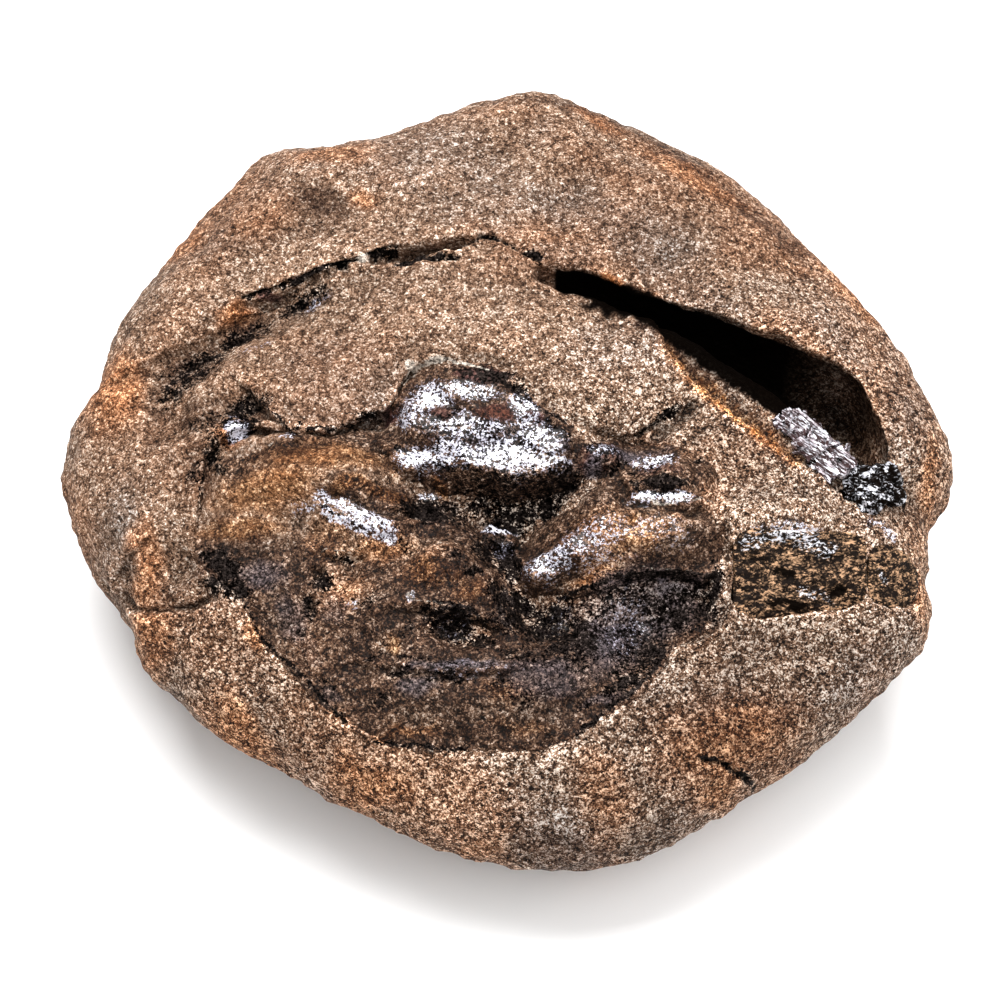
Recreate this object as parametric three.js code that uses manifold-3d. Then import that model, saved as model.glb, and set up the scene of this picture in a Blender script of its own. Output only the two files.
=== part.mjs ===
// Fossil crab in a split sandstone nodule, lying on its back with the crab facing up.
// Millimetres, +Z up, +X to the viewer's right, +Y away from the viewer. The origin is on the surface
// that the nodule rests on, under the middle of its footprint.
// The nodule is one stone. The crab's shell and the limb pieces that show are inlays in it.
import * as THREE from "three";
import { mergeVertices } from "three/addons/utils/BufferGeometryUtils.js";
import Module from "manifold-3d";

const wasm = await Module();
wasm.setup();

// ---- Driving dimensions -----------------------------------------------------------------------

const RIM_HEIGHT = 17; // height of the nodule's widest line at its middle
const FACE_TILT = 0.14; // rise of that line per millimetre towards the back
const CROWN = 14; // height of the split face above the widest line
const CROWN_POWER = 2.5; // 2 is an ellipse, and more is a flatter face with squarer shoulders
const BELLY_POWER = 2.1;
const BASE_CUT = 1.8; // how much of the rounded belly is worn flat
const BELLY_LUMPS = 2.2;
const SEAT_GAP = 0.3; // clearance between the stone and each inlay

const NODULE_SECTORS = 96;
const CROWN_RINGS = 24;
const BELLY_RINGS = 8;
const SHELL_CELL = 1.45; // facet size of the shell's face
const LIMB_CELL = 1.3;

// The nodule's widest line, anticlockwise from the right-hand end.
const NODULE_OUTLINE = [
  [46.0, 1.0], [44.0, 7.8], [40.9, 13.5], [37.4, 18.3], [33.9, 22.8], [30.3, 26.9], [24.8, 31.0],
  [20.0, 34.5], [13.8, 37.9], [8.7, 41.5], [2.6, 43.5], [-2.0, 42.3], [-7.2, 40.6], [-13.4, 38.2],
  [-19.6, 36.9], [-25.9, 35.9], [-30.5, 30.9], [-34.5, 25.7], [-39.0, 19.4], [-41.6, 14.8],
  [-42.6, 9.9], [-44.7, 7.0], [-45.9, 1.2], [-45.5, -3.2], [-43.3, -9.0], [-39.7, -13.8],
  [-35.3, -20.4], [-31.0, -25.5], [-25.6, -29.0], [-19.5, -32.1], [-13.5, -34.8], [-7.5, -37.5],
  [-2.6, -39.7], [2.3, -40.6], [8.2, -40.4], [13.1, -39.5], [18.2, -36.3], [25.3, -32.6],
  [30.9, -28.9], [35.7, -24.7], [40.6, -19.5], [43.1, -14.8], [43.2, -8.4], [43.6, -4.8], [45.3, -3.3],
];

// The edge of the exposed shell, anticlockwise from its right-hand corner.
const CARAPACE_OUTLINE = [
  [21.8, -11.5], [21.0, -6.5], [18.8, -4.0], [12.7, -2.7], [9.2, -2.2], [6.2, -0.8], [3.8, 1.2],
  [1.8, 3.2], [-0.2, 4.9], [-2.7, 5.6], [-6.7, 5.6], [-9.8, 4.6], [-10.6, 2.6], [-12.7, 0.0],
  [-15.2, -0.8], [-18.6, -2.2], [-22.2, -1.4], [-27.2, -1.0], [-29.8, -4.0], [-30.6, -9.0],
  [-31.2, -12.6], [-27.8, -15.9], [-26.0, -19.0], [-24.0, -22.0], [-19.2, -26.4], [-16.3, -29.2],
  [-12.8, -32.3], [-10.4, -32.7], [-2.7, -33.0], [3.6, -32.9], [9.0, -30.2], [12.9, -27.9],
  [14.4, -26.4], [15.6, -23.2], [18.8, -22.0], [21.5, -20.2],
];
const LEG_OUTLINE = [
  [35.2, -14.2], [35.0, -12.1], [29.0, -12.2], [23.0, -12.9], [22.7, -16.0], [23.0, -19.0], [29.0, -18.4],
  [35.0, -17.0],
];
const SHIN_OUTLINE = [
  [40.7, -13.6], [39.2, -12.4], [36.6, -12.7], [36.2, -15.0], [36.6, -17.0], [40.3, -15.8],
];

// Swellings and dents: the middle, the reach to the sides, to the back and to the front, the turn in
// degrees and the lift. A crisp one has a steep edge, and a soft one fades out.
const CRISP = 0.55;
const SOFT = 2;
const CARAPACE_RELIEF = [
  { part: "stomach dome", at: [-1.8, -0.6], reach: [10.5, 8.0, 5.8], turn: -4, lift: 3.0, edge: CRISP },
  { part: "left ridge", at: [-19.5, -5.4], reach: [13.5, 5.0, 5.4], turn: 2, lift: 2.8, edge: SOFT },
  { part: "left bump", at: [-14.2, -10.2], reach: [6.4, 3.0, 3.0], turn: -25, lift: 1.6, edge: CRISP },
  { part: "left of the neck", at: [-9.6, -4.6], reach: [4.4, 3.0, 3.0], turn: 0, lift: 1.0, edge: CRISP },
  { part: "right lobe", at: [12.6, -11.0], reach: [10.0, 5.4, 5.0], turn: 9, lift: 3.2, edge: CRISP },
  { part: "right front lobe", at: [16.4, -5.2], reach: [4.8, 3.4, 3.2], turn: 0, lift: 2.0, edge: CRISP },
  { part: "right brow", at: [9.2, -4.4], reach: [4.6, 3.4, 3.6], turn: 0, lift: 1.7, edge: SOFT },
  { part: "neck recess", at: [0.6, -10.4], reach: [9.0, 4.8, 6.0], turn: 0, lift: -2.8, edge: SOFT },
  { part: "gut hollow", at: [4.0, -19.8], reach: [6.5, 6.5, 6.5], turn: 0, lift: -2.0, edge: SOFT },
  { part: "right rear hollow", at: [14.0, -20.6], reach: [8.5, 5.0, 6.5], turn: 20, lift: -2.2, edge: SOFT },
  { part: "left rear lump", at: [-8.4, -18.2], reach: [7.0, 5.5, 5.0], turn: 0, lift: 1.3, edge: CRISP },
  { part: "gut lump", at: [-4.6, -13.6], reach: [3.2, 2.6, 2.4], turn: 0, lift: 1.0, edge: CRISP },
  { part: "rear roll", at: [-3.8, -26.6], reach: [13.0, 3.0, 4.6], turn: 0, lift: 1.4, edge: SOFT },
  { part: "left pit", at: [-15.2, -15.6], reach: [1.6, 2.4, 2.4], turn: 10, lift: -1.3, edge: SOFT },
  { part: "middle pit", at: [-6.0, -21.6], reach: [4.6, 1.6, 1.6], turn: -10, lift: -1.5, edge: SOFT },
];

const NODULE_RELIEF = [
  { part: "back left dent", at: [-18, 25], reach: [7.5, 5.0, 6.0], turn: 35, lift: -1.3, edge: SOFT },
  { part: "plate over the crab", at: [0, 9], reach: [26, 7.0, 9.0], turn: 0, lift: 0.8, edge: SOFT },
  { part: "left swell", at: [-38, -11], reach: [8.0, 6.0, 6.0], turn: 0, lift: 1.6, edge: SOFT },
  { part: "left pit", at: [-33, -13], reach: [4.4, 2.4, 2.6], turn: -12, lift: -2.6, edge: SOFT },
  { part: "lower left pit", at: [-32.4, -18], reach: [5.0, 2.4, 2.4], turn: 10, lift: -2.0, edge: SOFT },
  { part: "left shoulder dent", at: [-33, 1.5], reach: [5.0, 6.0, 5.0], turn: 0, lift: -1.6, edge: SOFT },
  { part: "black dent", at: [-27.6, 1.4], reach: [3.0, 3.0, 3.0], turn: 0, lift: -1.5, edge: SOFT },
  { part: "notch", at: [42.4, -6.4], reach: [5.5, 3.4, 3.0], turn: 8, lift: -2.2, edge: SOFT },
  { part: "front right dip", at: [27, -24], reach: [15, 5.0, 8.0], turn: 12, lift: -1.6, edge: SOFT },
  { part: "front lip", at: [4, -34], reach: [16, 3.0, 4.0], turn: 0, lift: 1.0, edge: SOFT },
  { part: "leg crest", at: [30, -10.4], reach: [13, 2.4, 3.2], turn: 3, lift: 1.3, edge: SOFT },
];

// Furrows that follow a line: its points, half-width and depth. A negative depth is a ridge.
const NODULE_FURROWS = [
  { part: "claw print", line: [[-37, 6.4], [-31.5, 9.8], [-26, 12.6], [-21, 14.6]], half: 2.6, depth: 1.7 },
  { part: "print edge", line: [[-35.6, 3.6], [-31, 6.8], [-26, 10.2], [-20.5, 12.9]], half: 1.9, depth: 1.4 },
  { part: "back valley", line: [[-1.7, 20], [4, 24], [8, 27.5]], half: 2.8, depth: 0.9 },
  { part: "ledge", line: [[-40, -16], [-36.6, -19.6], [-32, -20.6], [-28, -18.6]], half: 2.0, depth: -0.9 },
  { part: "right brow crack", line: [[13.7, -2.2], [16, -0.8], [18.4, 1.2]], half: 1.6, depth: 1.1 },
  { part: "front crack", line: [[19, -33.4], [22.5, -35.6], [24.5, -38]], half: 1.6, depth: 1.2 },
];

// The line where the front of the split face has dropped a little, from left to right.
const PLATE_EDGE = [
  [-38, 5.5], [-32, 10.2], [-27.3, 13.8], [-21, 15.9], [-16, 17.2], [-10.9, 18.2], [-4.8, 19.2], [-1.7, 20.2],
  [2.3, 18.0], [5.4, 16.2], [9.4, 15.0],
];
const PLATE_DROP = 1.1;
const PLATE_STEP = 0.8; // width of the step
const PLATE_REACH = 13; // how far in front of the step the dropped plate comes level again

// The hollow that the right claw left: place, half-width and depth at stations along it.
const CLAW_HOLLOW = [
  { at: [2.6, 16.4], half: 0.8, depth: 3.0 }, { at: [6.5, 14.7], half: 1.5, depth: 5.5 },
  { at: [11.0, 12.6], half: 1.9, depth: 7.0 }, { at: [16.0, 10.1], half: 2.5, depth: 8.5 },
  { at: [21.0, 7.2], half: 3.3, depth: 10.0 }, { at: [25.6, 4.6], half: 4.1, depth: 11.0 },
  { at: [29.8, 2.0], half: 4.7, depth: 11.5 }, { at: [33.2, -0.6], half: 4.5, depth: 10.5 },
  { at: [35.4, -3.0], half: 3.2, depth: 7.5 }, { at: [36.4, -4.6], half: 1.4, depth: 3.0 },
];
// Sections are [across, up] shares of a station's half-width and depth; across grows to the back.
// The hollow's front wall slopes and its back wall is undercut.
const HOLLOW_SECTION = [
  [1.0, 0.6], [1.0, 0.0], [1.16, -0.25], [1.16, -0.6], [0.9, -0.93], [0.3, -1.0], [-0.1, -0.66],
  [-0.4, -0.25], [-0.98, 0.0], [-1.0, 0.6],
];
// The seam over the left claw.
const CLAW_SEAM = [
  { at: [-27.6, 13.7], half: 0.4, depth: 1.6 }, { at: [-24.0, 15.0], half: 0.5, depth: 2.6 },
  { at: [-20.0, 16.2], half: 0.6, depth: 3.0 }, { at: [-15.6, 17.3], half: 0.35, depth: 2.2 },
  { at: [-11.0, 18.3], half: 0.65, depth: 3.0 }, { at: [-6.0, 19.0], half: 0.65, depth: 3.0 },
  { at: [-1.8, 20.0], half: 0.3, depth: 1.6 },
];
const SEAM_SECTION = [[1.0, 0.9], [1.0, 0.0], [0.9, -1.0], [-0.3, -1.0], [-1.0, 0.0], [-1.0, 0.9]];
// The flake of claw shell that lies on the sloping front wall at the hollow's right-hand end.
const FLAKE_STATIONS = [
  { at: [28.2, 3.0], half: 4.4, depth: 11.4 }, { at: [31.4, 0.9], half: 4.6, depth: 11.2 },
  { at: [34.2, -1.6], half: 4.0, depth: 9.4 },
];
const FLAKE_SECTION = [[-0.42, -0.17], [-0.42, -0.24], [-0.86, -0.05], [-0.86, 0.02]];
const KNUCKLE = { at: [35.9, -5.7], height: 26.2, half: [2.9, 2.0, 2.4], turn: 20 };

// ---- Shape of the stone -----------------------------------------------------------------------

const smooth = (low, high, x) => THREE.MathUtils.smoothstep(x, low, high);

// A smooth closed outline through points, moved outwards by a margin.
function smoothLoop(points, count, margin = 0) {
  const corners = points.map(([x, y]) => new THREE.Vector3(x, y, 0));
  const curve = new THREE.CatmullRomCurve3(corners, true, "centripetal");
  return Array.from({ length: count }, (_, i) => {
    const place = curve.getPoint(i / count);
    const heading = curve.getTangent(i / count);
    return new THREE.Vector2(place.x + heading.y * margin, place.y - heading.x * margin);
  });
}

// The radius of the nodule's widest line in any direction.
const rimPolar = smoothLoop(NODULE_OUTLINE, 1440)
  .map((p) => [Math.atan2(p.y, p.x), p.length()])
  .sort((a, b) => a[0] - b[0]);
function rimRadius(angle) {
  const next = rimPolar.findIndex(([a]) => a > angle);
  if (next <= 0) return rimPolar[0][1];
  const [before, after] = [rimPolar[next - 1], rimPolar[next]];
  return THREE.MathUtils.mapLinear(angle, before[0], after[0], before[1], after[1]);
}

const rimHeight = (y) => RIM_HEIGHT + FACE_TILT * y;
const rimShare = (x, y) => Math.min(1, Math.hypot(x, y) / rimRadius(Math.atan2(y, x)));
const roundOff = (share, power) => Math.pow(Math.max(0, 1 - Math.pow(share, power)), 1 / power);
const crown = (x, y) => rimHeight(y) + CROWN * roundOff(rimShare(x, y), CROWN_POWER);

// Long, low waves of weathering, from three crossing sine waves.
const weathering = (x, y) =>
  0.45 * Math.sin(x * 0.21 + y * 0.13 + 0.8) + 0.35 * Math.sin(x * -0.16 + y * 0.31 + 2.1) +
  0.22 * Math.sin(x * 0.47 + y * -0.38 + 4.0);

function mound({ at, reach: [side, back, front], turn, lift, edge }, x, y) {
  const t = THREE.MathUtils.degToRad(turn);
  const along = (x - at[0]) * Math.cos(t) + (y - at[1]) * Math.sin(t);
  const across = (y - at[1]) * Math.cos(t) - (x - at[0]) * Math.sin(t);
  const share = (along / side) ** 2 + (across / (across > 0 ? back : front)) ** 2;
  return share < 1 ? lift * (1 - share) ** edge : 0;
}

// Distance from a point to a line of points, and on which side of it the point lies.
function fromLine(line, x, y) {
  let best = { distance: Infinity, side: 0 };
  for (let i = 1; i < line.length; i++) {
    const [ax, ay] = line[i - 1];
    const [dx, dy] = [line[i][0] - ax, line[i][1] - ay];
    const share = THREE.MathUtils.clamp(((x - ax) * dx + (y - ay) * dy) / (dx * dx + dy * dy), 0, 1);
    const distance = Math.hypot(x - ax - share * dx, y - ay - share * dy);
    if (distance < best.distance) best = { distance, side: Math.sign(dx * (y - ay) - dy * (x - ax)) };
  }
  return best;
}

function furrow({ line, half, depth }, x, y) {
  const { distance } = fromLine(line, x, y);
  return distance < half ? -depth * (1 - (distance / half) ** 2) ** 2 : 0;
}

function plateDrop(x, y) {
  const { distance, side } = fromLine(PLATE_EDGE, x, y);
  if (side > 0) return 0;
  const fade = 1 - smooth(PLATE_REACH * 0.4, PLATE_REACH, distance);
  return -PLATE_DROP * smooth(0, PLATE_STEP, distance) * fade;
}

const total = (items, rule, x, y) => items.reduce((sum, item) => sum + rule(item, x, y), 0);

function splitFace(x, y) {
  const relief = weathering(x, y) + total(NODULE_RELIEF, mound, x, y) + total(NODULE_FURROWS, furrow, x, y) +
    plateDrop(x, y);
  return crown(x, y) + relief * (1 - smooth(0.88, 0.99, rimShare(x, y)));
}

function belly(x, y) {
  const share = rimShare(x, y);
  const fade = smooth(0.35, 0.7, share) * (1 - smooth(0.85, 0.99, share));
  const lumps = BELLY_LUMPS * weathering(y * 0.8 + 9, x * 0.7) * fade;
  return Math.max(0, (rimHeight(y) + BASE_CUT) * (1 - roundOff(share, BELLY_POWER)) - BASE_CUT + lumps);
}

// The shell lies well under the split face at the crab's front, and nearly level with it behind.
function shellFace(x, y) {
  const sink = 0.3 + 1.9 * smooth(-30, -2, y);
  return crown(x, y) + 0.5 * weathering(x, y) - sink + total(CARAPACE_RELIEF, mound, x, y);
}

// The leg's face leans to the front: its back edge is proud of the stone and its front edge is lower.
const legLean = (y) => THREE.MathUtils.mapLinear(y, -19, -12, -1.5, 1.3);
const legFace = (x, y) => crown(x, y) + 0.4 * weathering(x, y) + legLean(y);

// ---- Solids -----------------------------------------------------------------------------------

// A closed geometry as a solid, turned right side out.
function solidOf(geometry) {
  geometry.deleteAttribute("normal");
  geometry.deleteAttribute("uv");
  const merged = mergeVertices(geometry, 1e-4);
  const triVerts = new Uint32Array(merged.index.array);
  const vertProperties = new Float32Array(merged.getAttribute("position").array);
  const made = new wasm.Manifold(new wasm.Mesh({ numProp: 3, vertProperties, triVerts }));
  if (made.volume() > 0) return made;
  for (let i = 0; i < triVerts.length; i += 3) {
    [triVerts[i + 1], triVerts[i + 2]] = [triVerts[i + 2], triVerts[i + 1]];
  }
  return new wasm.Manifold(new wasm.Mesh({ numProp: 3, vertProperties, triVerts }));
}

// Moves every vertex of a geometry by a rule.
function reshape(geometry, rule) {
  const position = geometry.getAttribute("position");
  for (let i = 0; i < position.count; i++) {
    position.setXYZ(i, ...rule(position.getX(i), position.getY(i), position.getZ(i)));
  }
  return geometry;
}

// The nodule before anything is let into it: a turned ball, pulled out to the widest line.
function wholeStone() {
  const rings = [];
  for (let i = 0; i <= CROWN_RINGS; i++) rings.push((i / CROWN_RINGS) * 0.5 * Math.PI);
  for (let i = 1; i <= BELLY_RINGS; i++) rings.push((1 + i / BELLY_RINGS) * 0.5 * Math.PI);
  const profile = rings.map((a) => new THREE.Vector2(a < 3.14 ? Math.sin(a) : 0, Math.cos(a)));
  const ball = new THREE.LatheGeometry(profile, NODULE_SECTORS);
  return solidOf(reshape(ball, (across, level, along) => {
    const angle = Math.atan2(along, across);
    const share = Math.min(1, Math.hypot(across, along)) ** (2 / (level > 0 ? CROWN_POWER : BELLY_POWER));
    const [x, y] = [share * rimRadius(angle) * Math.cos(angle), share * rimRadius(angle) * Math.sin(angle)];
    if (Math.abs(level) < 1e-6) return [x, y, rimHeight(y)];
    return [x, y, level > 0 ? splitFace(x, y) : belly(x, y)];
  }));
}

const FAR_ABOVE = 45;

// An upright block with a smooth outline, between a tilted floor and a level top.
function block(outline, count, floor, margin = 0) {
  const shape = new THREE.Shape(smoothLoop(outline, count, margin));
  const plug = new THREE.ExtrudeGeometry(shape, { depth: 1, bevelEnabled: false });
  const floorHeight = (y) => floor - margin + FACE_TILT * y;
  return solidOf(reshape(plug, (x, y, end) => [x, y, end > 0.5 ? FAR_ABOVE : floorHeight(y)]));
}

// Everything under a face, over the rectangle that an outline covers.
function groundUnder(outline, cell, face) {
  const area = new THREE.Box2().setFromPoints(outline.map(([x, y]) => new THREE.Vector2(x, y)));
  area.expandByScalar(cell);
  const [size, middle] = [area.getSize(new THREE.Vector2()), area.getCenter(new THREE.Vector2())];
  const cells = [Math.round(size.x / cell), Math.round(size.y / cell)];
  const slab = new THREE.BoxGeometry(size.x, size.y, 2, ...cells, 1);
  return solidOf(reshape(slab, (sx, sy, end) => {
    const [x, y] = [sx + middle.x, sy + middle.y];
    return [x, y, end > 0 ? face(x, y) : 0];
  }));
}

const inlay = ({ outline, count, floor, cell, face }) =>
  block(outline, count, floor).intersect(groundUnder(outline, cell, face));
const seat = ({ outline, count, floor }) => block(outline, count, floor, SEAT_GAP);

// A tube through stations, with a section at each. A rule gives the height that sections hang from.
function tube(stations, section, steps, hang) {
  const path = (value) => new THREE.CatmullRomCurve3(
    stations.map((s) => new THREE.Vector3(s.at[0], s.at[1], value(s))), false, "centripetal");
  const [widths, depths] = [path((s) => s.half), path((s) => s.depth)];
  const middle = [0, 1].map((k) => section.reduce((sum, p) => sum + p[k], 0) / section.length);
  const round = new THREE.CylinderGeometry(1, 1, 1, section.length, steps);
  return solidOf(reshape(round, (px, py, pz) => {
    const share = THREE.MathUtils.clamp(py + 0.5, 0, 1);
    const corner = Math.round((Math.atan2(px, pz) / (2 * Math.PI) + 1) * section.length) % section.length;
    const [across, up] = Math.hypot(px, pz) < 0.5 ? middle : section[corner];
    const place = widths.getPoint(share);
    const heading = widths.getTangent(share).setZ(0).normalize();
    const x = place.x - heading.y * across * place.z;
    const y = place.y + heading.x * across * place.z;
    return [x, y, hang(x, y) + up * depths.getPoint(share).z];
  }));
}

const flake = () => tube(FLAKE_STATIONS, FLAKE_SECTION, 6, (x, y) => splitFace(x, y) + SEAT_GAP);

// The lump of black shell at the hollow's end.
function knuckle(margin) {
  const lump = new THREE.IcosahedronGeometry(1, 2);
  const t = THREE.MathUtils.degToRad(KNUCKLE.turn);
  return solidOf(reshape(lump, (x, y, z) => {
    const wobble = 1 + 0.09 * Math.sin(5 * x + 3 * y + 1) * Math.cos(4 * z);
    const [a, b, c] = [x, y, z].map((value, k) => value * (KNUCKLE.half[k] * wobble + margin));
    return [
      KNUCKLE.at[0] + a * Math.cos(t) - b * Math.sin(t), KNUCKLE.at[1] + a * Math.sin(t) + b * Math.cos(t),
      KNUCKLE.height + c,
    ];
  }));
}

// ---- Pieces -----------------------------------------------------------------------------------

const CARAPACE = { outline: CARAPACE_OUTLINE, count: 72, floor: 20.5, cell: SHELL_CELL, face: shellFace };
const LEG = { outline: LEG_OUTLINE, count: 24, floor: 23.5, cell: LIMB_CELL, face: legFace };
const SHIN = { outline: SHIN_OUTLINE, count: 18, floor: 22.5, cell: LIMB_CELL, face: legFace };

const nodule = [
  seat(CARAPACE), seat(LEG), seat(SHIN), knuckle(SEAT_GAP),
  tube(CLAW_SEAM, SEAM_SECTION, 14, splitFace), tube(CLAW_HOLLOW, HOLLOW_SECTION, 20, splitFace),
].reduce((stone, cut) => stone.subtract(cut), wholeStone());

function mesh(name, solid, color, roughness) {
  const { numProp, numVert, vertProperties, triVerts } = solid.getMesh();
  const position = new Float32Array(numVert * 3);
  for (let i = 0; i < numVert; i++) {
    position.set(vertProperties.subarray(i * numProp, i * numProp + 3), i * 3);
  }
  const geometry = new THREE.BufferGeometry()
    .setAttribute("position", new THREE.BufferAttribute(position, 3))
    .setIndex(new THREE.BufferAttribute(triVerts, 1));
  geometry.computeVertexNormals();
  const made = new THREE.Mesh(geometry, new THREE.MeshStandardMaterial({ color, roughness, metalness: 0 }));
  made.name = name;
  return made;
}

const fossil = new THREE.Group();
fossil.add(
  mesh("nodule", nodule, 0x7a5f49, 0.95),
  mesh("carapace", inlay(CARAPACE), 0x2a2220, 0.3),
  mesh("leg", inlay(LEG), 0x4a3729, 0.5),
  mesh("shin", inlay(SHIN), 0x4a3729, 0.5),
  mesh("claw_flake", flake(), 0x4d4b52, 0.25),
  mesh("claw_knuckle", knuckle(0), 0x1c1816, 0.25),
);

// The outline is drawn round the middle of the crab's stone, so the pieces move to the footprint's middle.
const middle = new THREE.Box3().setFromObject(fossil).getCenter(new THREE.Vector3());
for (const piece of fossil.children) piece.position.set(-middle.x, -middle.y, 0);

export default fossil;
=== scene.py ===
"""Dresses the fossil crab: a crab's varnished shell and limbs in a split sandstone nodule."""
import math

import bpy
import numpy as np
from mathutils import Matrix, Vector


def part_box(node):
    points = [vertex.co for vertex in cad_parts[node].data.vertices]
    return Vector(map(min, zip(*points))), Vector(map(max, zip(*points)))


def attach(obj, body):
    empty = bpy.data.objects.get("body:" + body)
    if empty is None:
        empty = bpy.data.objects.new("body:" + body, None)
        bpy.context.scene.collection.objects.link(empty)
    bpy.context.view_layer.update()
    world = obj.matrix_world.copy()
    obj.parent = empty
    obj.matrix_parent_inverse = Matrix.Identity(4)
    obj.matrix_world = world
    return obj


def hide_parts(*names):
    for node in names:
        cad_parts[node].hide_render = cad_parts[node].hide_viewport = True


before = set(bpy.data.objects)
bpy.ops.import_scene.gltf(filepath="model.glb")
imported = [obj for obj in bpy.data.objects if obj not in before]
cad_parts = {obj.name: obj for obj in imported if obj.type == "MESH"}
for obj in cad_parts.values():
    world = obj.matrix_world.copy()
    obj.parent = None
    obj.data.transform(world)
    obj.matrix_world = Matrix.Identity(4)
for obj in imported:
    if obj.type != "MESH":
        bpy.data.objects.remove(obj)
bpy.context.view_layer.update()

MM = 0.001
FACE_TILT = 0.14  # the nodule's widest line rises this much towards the back
RIM_HEIGHT = 17.2  # height of that line over the origin, in millimetres
FACE_HEIGHT = 31.6  # height of the split face in its middle
FLAKE_HEIGHT = 28.85  # height of the claw's flake at its upper end

# The size of each piece's faces, in millimetres
STONE_MESH = 0.4
SHELL_MESH = 0.25
LIMB_MESH = 0.2
KNUCKLE_MESH = 0.18

CAMERA_PLACE = (-0.773, -161.4, 290.2)  # in millimetres
CAMERA_PITCH = 30
LENS = 110
SENSOR_WIDTH = 36
LIGHT_TARGET = (0, 0, 0.02)  # in metres
FLOOR_SIZE = 6


# ---- Working on a mesh ----


def pick(piece):
    """Makes a piece the only one selected, and the active one."""
    bpy.ops.object.select_all(action="DESELECT")
    piece.select_set(True)
    bpy.context.view_layer.objects.active = piece


def copy_node(node, name):
    """A copy of a CAD node with its loose triangles merged."""
    pick(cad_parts[node])
    bpy.ops.object.duplicate()
    piece = bpy.context.view_layer.objects.active
    piece.name = name
    piece.data.name = name
    piece.data.materials.clear()
    bpy.ops.object.mode_set(mode="EDIT")
    bpy.ops.mesh.select_all(action="SELECT")
    bpy.ops.mesh.remove_doubles(threshold=1e-6)
    bpy.ops.object.mode_set(mode="OBJECT")
    return piece


def modify(piece, kind, **settings):
    """Adds a modifier and applies it."""
    pick(piece)
    modifier = piece.modifiers.new(kind.lower(), kind)
    for key, value in settings.items():
        setattr(modifier, key, value)
    bpy.ops.object.modifier_apply(modifier=modifier.name)


def remesh(piece, size):
    """Rebuilds a piece from even faces of a size in millimetres."""
    modify(piece, "REMESH", mode="VOXEL", voxel_size=size * MM, adaptivity=0)


def resize(piece, by, middle):
    """Scales a whole piece about a point, in metres."""
    pick(piece)
    bpy.ops.object.mode_set(mode="EDIT")
    bpy.ops.mesh.select_all(action="SELECT")
    bpy.ops.transform.resize(value=by, center_override=middle)
    bpy.ops.object.mode_set(mode="OBJECT")


def widen(piece, by):
    """Grows a piece sideways by a distance in millimetres on each side, into the stone round it."""
    low, high = np.min(points(piece), axis=0), np.max(points(piece), axis=0)
    size = high - low
    grow = [(size[axis] + 2 * by) / size[axis] for axis in (0, 1)]
    resize(piece, (*grow, 1), tuple((low + high) / 2 * MM))


def thin_out(piece, chosen, keep):
    """Leaves fewer faces where a mesh is out of sight or plain."""
    pick(piece)
    group = piece.vertex_groups.new(name="plain")
    group.add([int(index) for index in np.flatnonzero(chosen)], 1, "REPLACE")
    modify(piece, "DECIMATE", ratio=keep, vertex_group="plain", vertex_group_factor=1000)
    piece.vertex_groups.clear()


def points(piece):
    """Every vertex's place, in millimetres."""
    flat = np.empty(len(piece.data.vertices) * 3)
    piece.data.vertices.foreach_get("co", flat)
    return flat.reshape(-1, 3) / MM


def place(piece, places):
    piece.data.vertices.foreach_set("co", (places * MM).ravel())
    piece.data.update()


def facing(piece):
    """Every vertex's normal."""
    flat = np.empty(len(piece.data.vertices) * 3)
    piece.data.vertex_normals.foreach_get("vector", flat)
    return flat.reshape(-1, 3)


def relax(piece, places, rounds):
    """Places after each vertex has moved half way to its neighbours' middle, a number of times."""
    ends = np.empty(len(piece.data.edges) * 2, dtype=np.int64)
    piece.data.edges.foreach_get("vertices", ends)
    a, b = ends.reshape(-1, 2).T
    size = len(places)
    count = np.bincount(a, minlength=size) + np.bincount(b, minlength=size)
    for _ in range(rounds):
        around = np.stack([
            np.bincount(a, places[b, axis], size) + np.bincount(b, places[a, axis], size)
            for axis in range(3)
        ], axis=1)
        places = 0.5 * places + 0.5 * around / count[:, None]
    return places


def smooth(piece, rounds):
    """Relaxes a whole piece and gives its new places."""
    places = relax(piece, points(piece), rounds)
    place(piece, places)
    return places


def paint(piece, name, values):
    """Stores a mask on the piece's vertices, for its material."""
    mask = piece.data.attributes.new(name, "FLOAT", "POINT")
    mask.data.foreach_set("value", np.clip(values, 0, 1).astype(np.float32))


def paint_relief(piece, name, rounds, full):
    """Paints how far each vertex stands out from the surface round it: 0.5 where it is level. The
    finishes turn it into painted light on crests and painted shade in creases.
    """
    places = points(piece)
    out = np.sum((places - relax(piece, places, rounds)) * facing(piece), axis=1)
    paint(piece, name, 0.5 + out / full)


# ---- Shapes for strokes and dabs ----


def ease(low, high, value):
    """0 below one value and 1 above another, with a soft change between them."""
    share = np.clip((value - low) / (high - low), 0, 1)
    return share * share * (3 - 2 * share)


SCRAMBLE = (374761393, 668265263, 2246822519, 3266489917)  # large primes that mix up a place
LOW_BITS = 0xFFFFFFFF


def grit(places, size, seed):
    """Smooth noise from -1 to 1 with lumps of about a size in millimetres; the seed picks it."""
    p, q, r, s = SCRAMBLE
    scaled = places / size + seed * 17.31
    cell = np.floor(scaled).astype(np.int64)
    inside = scaled - cell
    inside = inside * inside * (3 - 2 * inside)
    total = np.zeros(len(places))
    for corner in np.ndindex(2, 2, 2):
        x, y, z = (cell + corner).astype(np.uint64).T
        mixed = x * p + y * q + z * r + seed * s
        for shift, factor in ((15, r), (13, s)):
            mixed = (mixed ^ (mixed >> np.uint64(shift))) * np.uint64(factor) & np.uint64(LOW_BITS)
        value = (mixed ^ (mixed >> np.uint64(16))).astype(float) / LOW_BITS * 2 - 1
        total += value * np.prod(np.where(np.array(corner) == 1, inside, 1 - inside), axis=1)
    return total


def rough(places, size, seed, layers=3):
    """Noise of several sizes, each half as large and half as strong as the one before."""
    return sum(grit(places, size / 2**n, seed + n) / 2**n for n in range(layers))


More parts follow.
